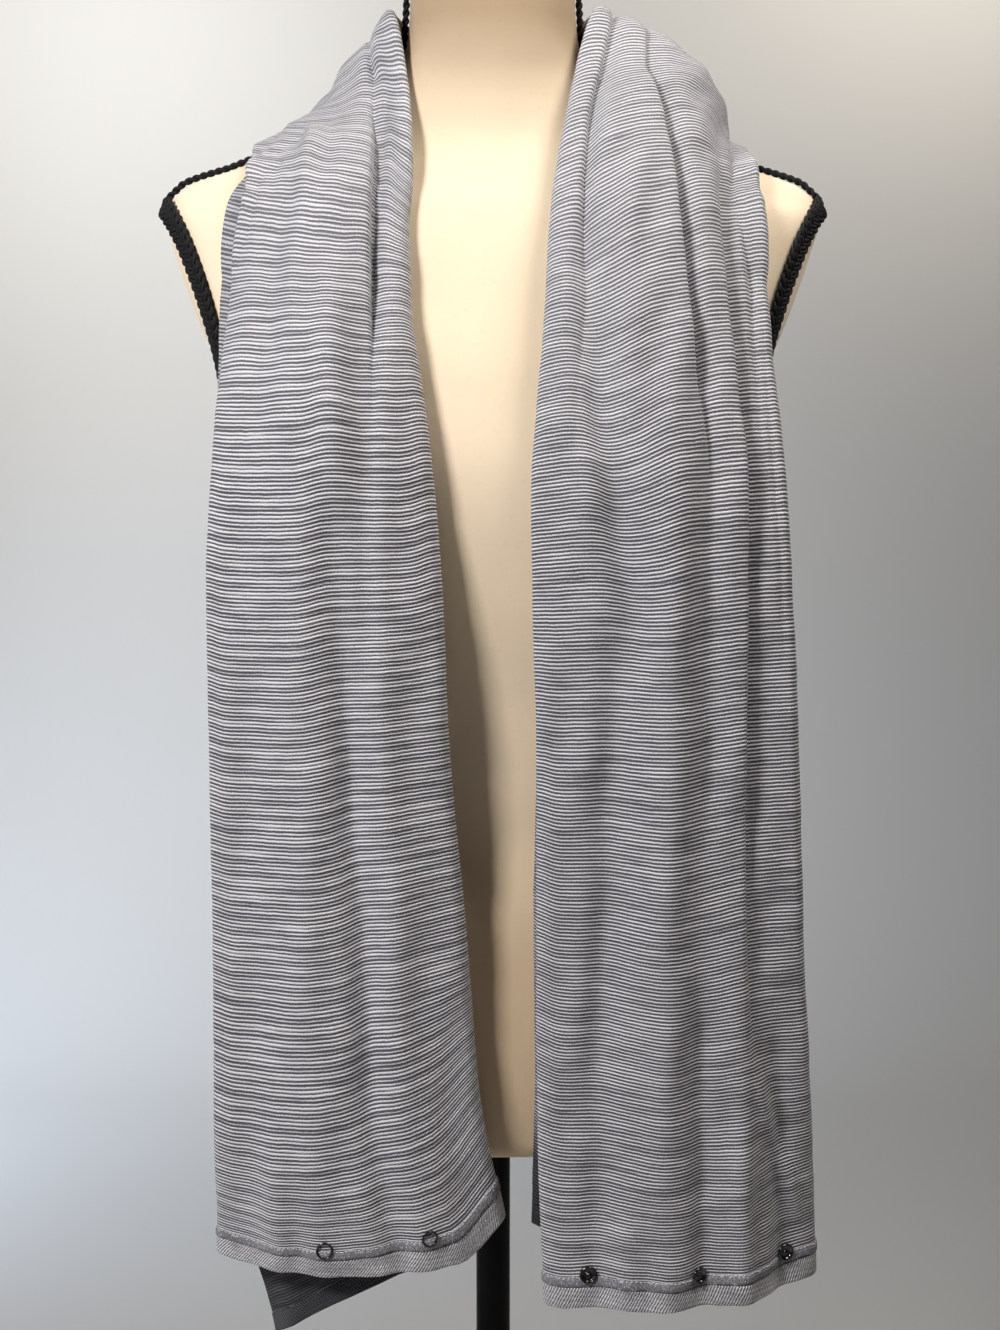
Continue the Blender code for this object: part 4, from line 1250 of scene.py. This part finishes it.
def make_braids(sizes, colours):
    gimp = yarn("black_gimp", colours.braid_light, colours.braid, 1500.0, 0.7, gloss=0.2)
    strand = sizes.braid_strand / MM / 2
    swing = sizes.braid_width / MM / 2 - 2 * strand
    for side, label in SIDES:
        loop = armhole_loop(side, ARMHOLE_POINTS)
        out = unit(form_slope(loop))
        across = np.cross(headings(loop, looped=True), out)
        way = travelled(np.linalg.norm(np.roll(loop, -1, axis=0) - loop, axis=1))
        periods = round(way[-1] / (sizes.braid_pitch / MM))
        tubes = []
        for k in range(BRAID_STRANDS):
            phase = 2 * math.pi * (periods * way[:-1] / way[-1] + k / BRAID_STRANDS)
            path = loop + across * (swing * np.sin(phase))[:, None]
            path += out * (strand + BRAID_LIFT + BRAID_WEAVE * np.sin(2 * phase))[:, None]
            beside = np.cross(headings(path, looped=True), out) * strand * BRAID_PAIR
            for cord in (path - beside, path + beside):
                tubes.append(tube_rings(cord, out, strand, STRAND_SIDES, looped=True))
        braid = add_mesh(f"armhole_gimp_{label}", *joined(tubes), gimp)
        finished(braid, "black_braid", f"armhole_braid_{label}")


def make_cords(sizes, colours):
    rope = yarn("black_cord", colours.braid_light, colours.braid, 1800.0, 0.7, gloss=0.2)
    radius = sizes.cord_diameter / MM / 4
    heights = np.concatenate([np.linspace(*CORD_BEND), np.linspace(*CORD_RUN)])
    half = smooth_columns(FORM_ROWS, heights)[:, 0]
    for side, label in SIDES:
        shoulder = np.stack([side * half, np.zeros_like(half), heights], axis=-1)
        shoulder = off_the_form(shoulder, 2 * radius + CORD_LIFT, exactly=True)
        out = unit(form_slope(shoulder))
        across = np.cross(headings(shoulder), out)
        way = travelled(np.linalg.norm(np.diff(shoulder, axis=0), axis=1))
        tubes = []
        for start in (0.0, math.pi):
            phase = 2 * math.pi * way / (sizes.cord_pitch / MM) + start
            path = shoulder + radius * (out * np.cos(phase)[:, None] + across * np.sin(phase)[:, None])
            tubes.append(tube_rings(path, out, radius * PLY_OVERLAP, STRAND_SIDES))
        cord = add_mesh(f"shoulder_rope_{label}", *joined(tubes), rope)
        finished(cord, "black_braid", f"shoulder_cord_{label}")


def make_stand(sizes, colours):
    metal = stand_metal(colours)
    edge, _, top = np.array(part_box("stand_base")[1]) / MM
    less = FOOT_ROUND
    profile = [(0.5, 0.0), (edge - less, 0.0), (edge, less)]
    profile += [(edge, FOOT_RIM - less), (edge - less, FOOT_RIM), *FOOT_SLOPE]
    profile += [(COLLAR_OUTSIDE, top - less), (COLLAR_OUTSIDE - less, top), (COLLAR_INSIDE, top)]
    base = add_mesh("stand_foot", *turned_rings(rounded_profile(profile, 2.5, 5), 128), metal, sharp=40)
    finished(base, "stand_metal", "stand_base")
    (_, _, low), (edge, _, top) = (np.array(corner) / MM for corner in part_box("stand_pole"))
    profile = [(edge - 1, low), (edge, low + 1), (edge, top - 1), (edge - 1, top)]
    pole = add_mesh("stand_tube", *turned_rings(profile, 64), metal, sharp=40)
    finished(pole, "stand_metal", "stand_pole")


def declare_sheets():
    """Gathers the names of each side's seam pieces and snaps, and does nothing more with them."""
    objects = bpy.data.objects
    snaps = [o.name for o in objects if o.name.endswith("_snap")]
    for side, flat in (("left", (0.36, 0.725)), ("right", (0.41, 0.725))):
        trim = [f"{side}_seam_cover", f"{side}_seam_loops", f"{side}_seam_stitches"]
        trim += [name for name in snaps if name.startswith(side)]


def add_lamp(name, place, aim, size, power, colour, spread):
    data = bpy.data.lights.new(name, "AREA")
    data.shape = "SQUARE"
    data.size = size
    data.energy = power
    data.spread = math.radians(spread)
    data.color = colour
    lamp = bpy.data.objects.new(name, data)
    lamp.location = place
    lamp.rotation_euler = (Vector(aim) - Vector(place)).to_track_quat("-Z", "Y").to_euler()
    lamp.visible_camera = False
    bpy.context.scene.collection.objects.link(lamp)


def make_backdrop(colours):
    """A pale floor that sweeps up into a pale wall behind the form."""
    wide, near, turn, sweep, top, steps = 9.0, -7.0, 2.6, 1.0, 6.0, 16
    profile = [(near, 0.0), (turn, 0.0)]
    for k in range(1, steps + 1):
        angle = math.pi / 2 * k / steps
        profile.append((turn + sweep * math.sin(angle), sweep * (1 - math.cos(angle))))
    profile.append((turn + sweep, top))
    points = [(x, y, z) for y, z in profile for x in (-wide, wide)]
    faces = [(2 * k, 2 * k + 1, 2 * k + 3, 2 * k + 2) for k in range(len(profile) - 1)]
    backdrop = add_mesh("backdrop", np.array(points) / MM, faces, backdrop_paint(colours))


def make_stage(sizes, colours):
    make_backdrop(colours)
    for name, settings in LAMPS.items():
        add_lamp(name, *settings)
    scene = bpy.context.scene
    scene.world = bpy.data.worlds.new("studio")
    scene.world.use_nodes = True
    sky = scene.world.node_tree.nodes["Background"]
    sky.inputs["Color"].default_value = SKY_COLOUR
    sky.inputs["Strength"].default_value = SKY_STRENGTH
    scene.view_settings.view_transform = "Standard"

    camera = bpy.data.objects.new("camera", bpy.data.cameras.new("camera"))
    camera.data.sensor_width = SENSOR_WIDTH
    camera.data.lens = sizes.camera_lens
    camera.location = CAMERA_PLACE
    camera.rotation_euler = (math.radians(90 - CAMERA_TILT), 0, 0)
    scene.collection.objects.link(camera)
    scene.camera = camera


def length_property(name, description, default):
    return FloatProperty(
        name=name, description=description, default=default, min=0, unit="LENGTH", precision=5
    )


def colour_property(name, description, default):
    return FloatVectorProperty(
        name=name, description=description, default=default, size=3, min=0, max=1, subtype="COLOR"
    )


class ScarfSizes(bpy.types.PropertyGroup):
    """Sizes of the cloth, its sewing and the form's trim."""

    stripe_pitch: length_property("Stripe Pitch", "From one white line to the next at a hem", 0.00187)
    stripe_stretch: FloatProperty(
        name="Stripe Stretch", description="How the lines draw apart away from a hem", default=0.16, min=0
    )
    cloth_thickness: length_property("Cloth", "Thickness of the jersey", 0.0009)
    band_height: length_property("Binding Height", "Height of the bound hem", 0.013)
    band_thickness: length_property("Binding Thickness", "Thickness of the bound hem", 0.0019)
    strip_height: length_property("Seam Height", "Height of the flat seam over the binding", 0.0058)
    strip_thickness: length_property("Seam Thickness", "How thick the flat seam is", 0.0006)
    stitch_length: length_property("Stitch Length", "From one stitch to the next", 0.0024)
    braid_width: length_property("Braid Width", "Width of the armholes' gimp braid", 0.0142)
    braid_strand: length_property("Braid Strand", "Thickness of one of its cords", 0.0027)
    braid_pitch: length_property("Braid Pitch", "Length of one full turn of its plait", 0.0165)
    cord_diameter: length_property("Cord", "Diameter of the shoulders' twisted cord", 0.0042)
    cord_pitch: length_property("Cord Pitch", "Length of one turn of its two plies", 0.0095)
    camera_lens: FloatProperty(
        name="Camera Lens", description="Focal length of the camera", default=50.13, unit="CAMERA"
    )


class ScarfColours(bpy.types.PropertyGroup):
    """Colours of the yarns, the form, the metal and the studio."""

    white_yarn: colour_property("White Yarn", "The raised lines", (0.90, 0.89, 0.92))
    white_shade: colour_property("White Shade", "Fibres in the raised lines", (0.50, 0.49, 0.53))
    worn: colour_property("Worn Yarn", "Where the lines have rubbed together", (0.40, 0.395, 0.43))
    heather_light: colour_property("Heather Light", "Light fibres of the grey lines", (0.17, 0.165, 0.20))
    heather_dark: colour_property("Heather Dark", "Dark fibres of the grey lines", (0.022, 0.021, 0.028))
    # The cloth's inner side: its own darker tone, and near the hems painted shadow on it
    reverse: colour_property("Reverse", "Shade of the cloth's inner side", (0.04, 0.04, 0.05))
    binding: colour_property("Binding", "Rib of the bound hem", (0.50, 0.495, 0.52))
    seam_thread: colour_property("Seam Thread", "Looped thread of the flat seam", (0.43, 0.43, 0.465))
    seam_shade: colour_property("Seam Shade", "Depth of the flat seam", (0.09, 0.09, 0.11))
    gunmetal: colour_property("Gunmetal", "The snaps", (0.025, 0.025, 0.027))
    gunmetal_worn: colour_property("Worn Gunmetal", "Where the snaps are rubbed", (0.06, 0.06, 0.064))
    cover: colour_property("Form Cover", "The form's jersey", (0.93, 0.765, 0.575))
    cover_shade: colour_property("Form Shade", "Its faintly stained parts", (0.86, 0.705, 0.505))
    braid: colour_property("Braid", "Black gimp and cord", (0.003, 0.003, 0.0035))
    braid_light: colour_property("Braid Light", "Shine of their fibres", (0.02, 0.02, 0.022))
    stand: colour_property("Stand", "The pole and foot", (0.0035, 0.0035, 0.004))
    stand_worn: colour_property("Worn Stand", "Where their paint is rubbed", (0.010, 0.010, 0.011))
    floor: colour_property("Floor", "The pale backdrop", (0.82, 0.81, 0.79))
    floor_shade: colour_property("Floor Shade", "Its faint clouding", (0.80, 0.79, 0.77))


class ScarfOperator(bpy.types.Operator):
    """What every operator here does: it hands the scene's sizes and colours to its makers."""

    makers = ()

    def execute(self, context):
        for make in self.makers:
            make(context.scene.scarf_sizes, context.scene.scarf_colours)
        return {"FINISHED"}


class SCARF_OT_build_stage(ScarfOperator):
    """Set up the pale backdrop, the soft lights and the camera"""

    bl_idname = "scarf.build_stage"
    bl_label = "Build Stage"
    makers = (make_stage,)


class SCARF_OT_cover_form(ScarfOperator):
    """Cover the dress form in cream jersey"""

    bl_idname = "scarf.cover_form"
    bl_label = "Cover Form"
    makers = (make_form,)


class SCARF_OT_trim_form(ScarfOperator):
    """Plait the gimp round the armholes and lay the cord along the shoulders"""

    bl_idname = "scarf.trim_form"
    bl_label = "Trim Form"
    makers = (make_braids, make_cords)


class SCARF_OT_paint_stand(ScarfOperator):
    """Turn the stand's foot and pole in black metal"""

    bl_idname = "scarf.paint_stand"
    bl_label = "Make Stand"
    makers = (make_stand,)


class SCARF_OT_drape_cloth(ScarfOperator):
    """Drape the striped jersey over the form's neck and shoulders"""

    bl_idname = "scarf.drape_cloth"
    bl_label = "Drape Cloth"
    makers = (make_cloth,)


class SCARF_OT_bind_hems(ScarfOperator):
    """Bind both short ends of the scarf"""

    bl_idname = "scarf.bind_hems"
    bl_label = "Bind Hems"
    makers = (make_hems,)


class SCARF_OT_stitch_seams(ScarfOperator):
    """Sew the flat seams over the bindings"""

    bl_idname = "scarf.stitch_seams"
    bl_label = "Stitch Seams"
    makers = (make_seams,)


class SCARF_OT_set_snaps(ScarfOperator):
    """Set the rings and sockets above the hems"""

    bl_idname = "scarf.set_snaps"
    bl_label = "Set Snaps"
    makers = (make_snaps,)


OPERATORS = (
    SCARF_OT_build_stage,
    SCARF_OT_cover_form,
    SCARF_OT_trim_form,
    SCARF_OT_paint_stand,
    SCARF_OT_drape_cloth,
    SCARF_OT_bind_hems,
    SCARF_OT_stitch_seams,
    SCARF_OT_set_snaps,
)


class SCARF_PT_sidebar(bpy.types.Panel):
    """Lists the steps that make the scarf and its form, with their sizes and colours"""

    bl_label = "Snap Scarf"
    bl_idname = "SCARF_PT_sidebar"
    bl_space_type = "VIEW_3D"
    bl_region_type = "UI"
    bl_category = "Scarf"

    def draw(self, context):
        for operator in OPERATORS:
            self.layout.operator(operator.bl_idname)
        for group in (context.scene.scarf_sizes, context.scene.scarf_colours):
            for name in group.__annotations__:
                self.layout.prop(group, name)


CLASSES = (ScarfSizes, ScarfColours, *OPERATORS, SCARF_PT_sidebar)


def register():
    for each in CLASSES:
        bpy.utils.register_class(each)
    bpy.types.Scene.scarf_sizes = PointerProperty(type=ScarfSizes)
    bpy.types.Scene.scarf_colours = PointerProperty(type=ScarfColours)


def unregister():
    del bpy.types.Scene.scarf_colours
    del bpy.types.Scene.scarf_sizes
    for each in reversed(CLASSES):
        bpy.utils.unregister_class(each)


def main():
    register()
    for step in OPERATORS:
        group, name = step.bl_idname.split(".")
        getattr(getattr(bpy.ops, group), name)()
    declare_sheets()


if __name__ == "__main__":
    main()
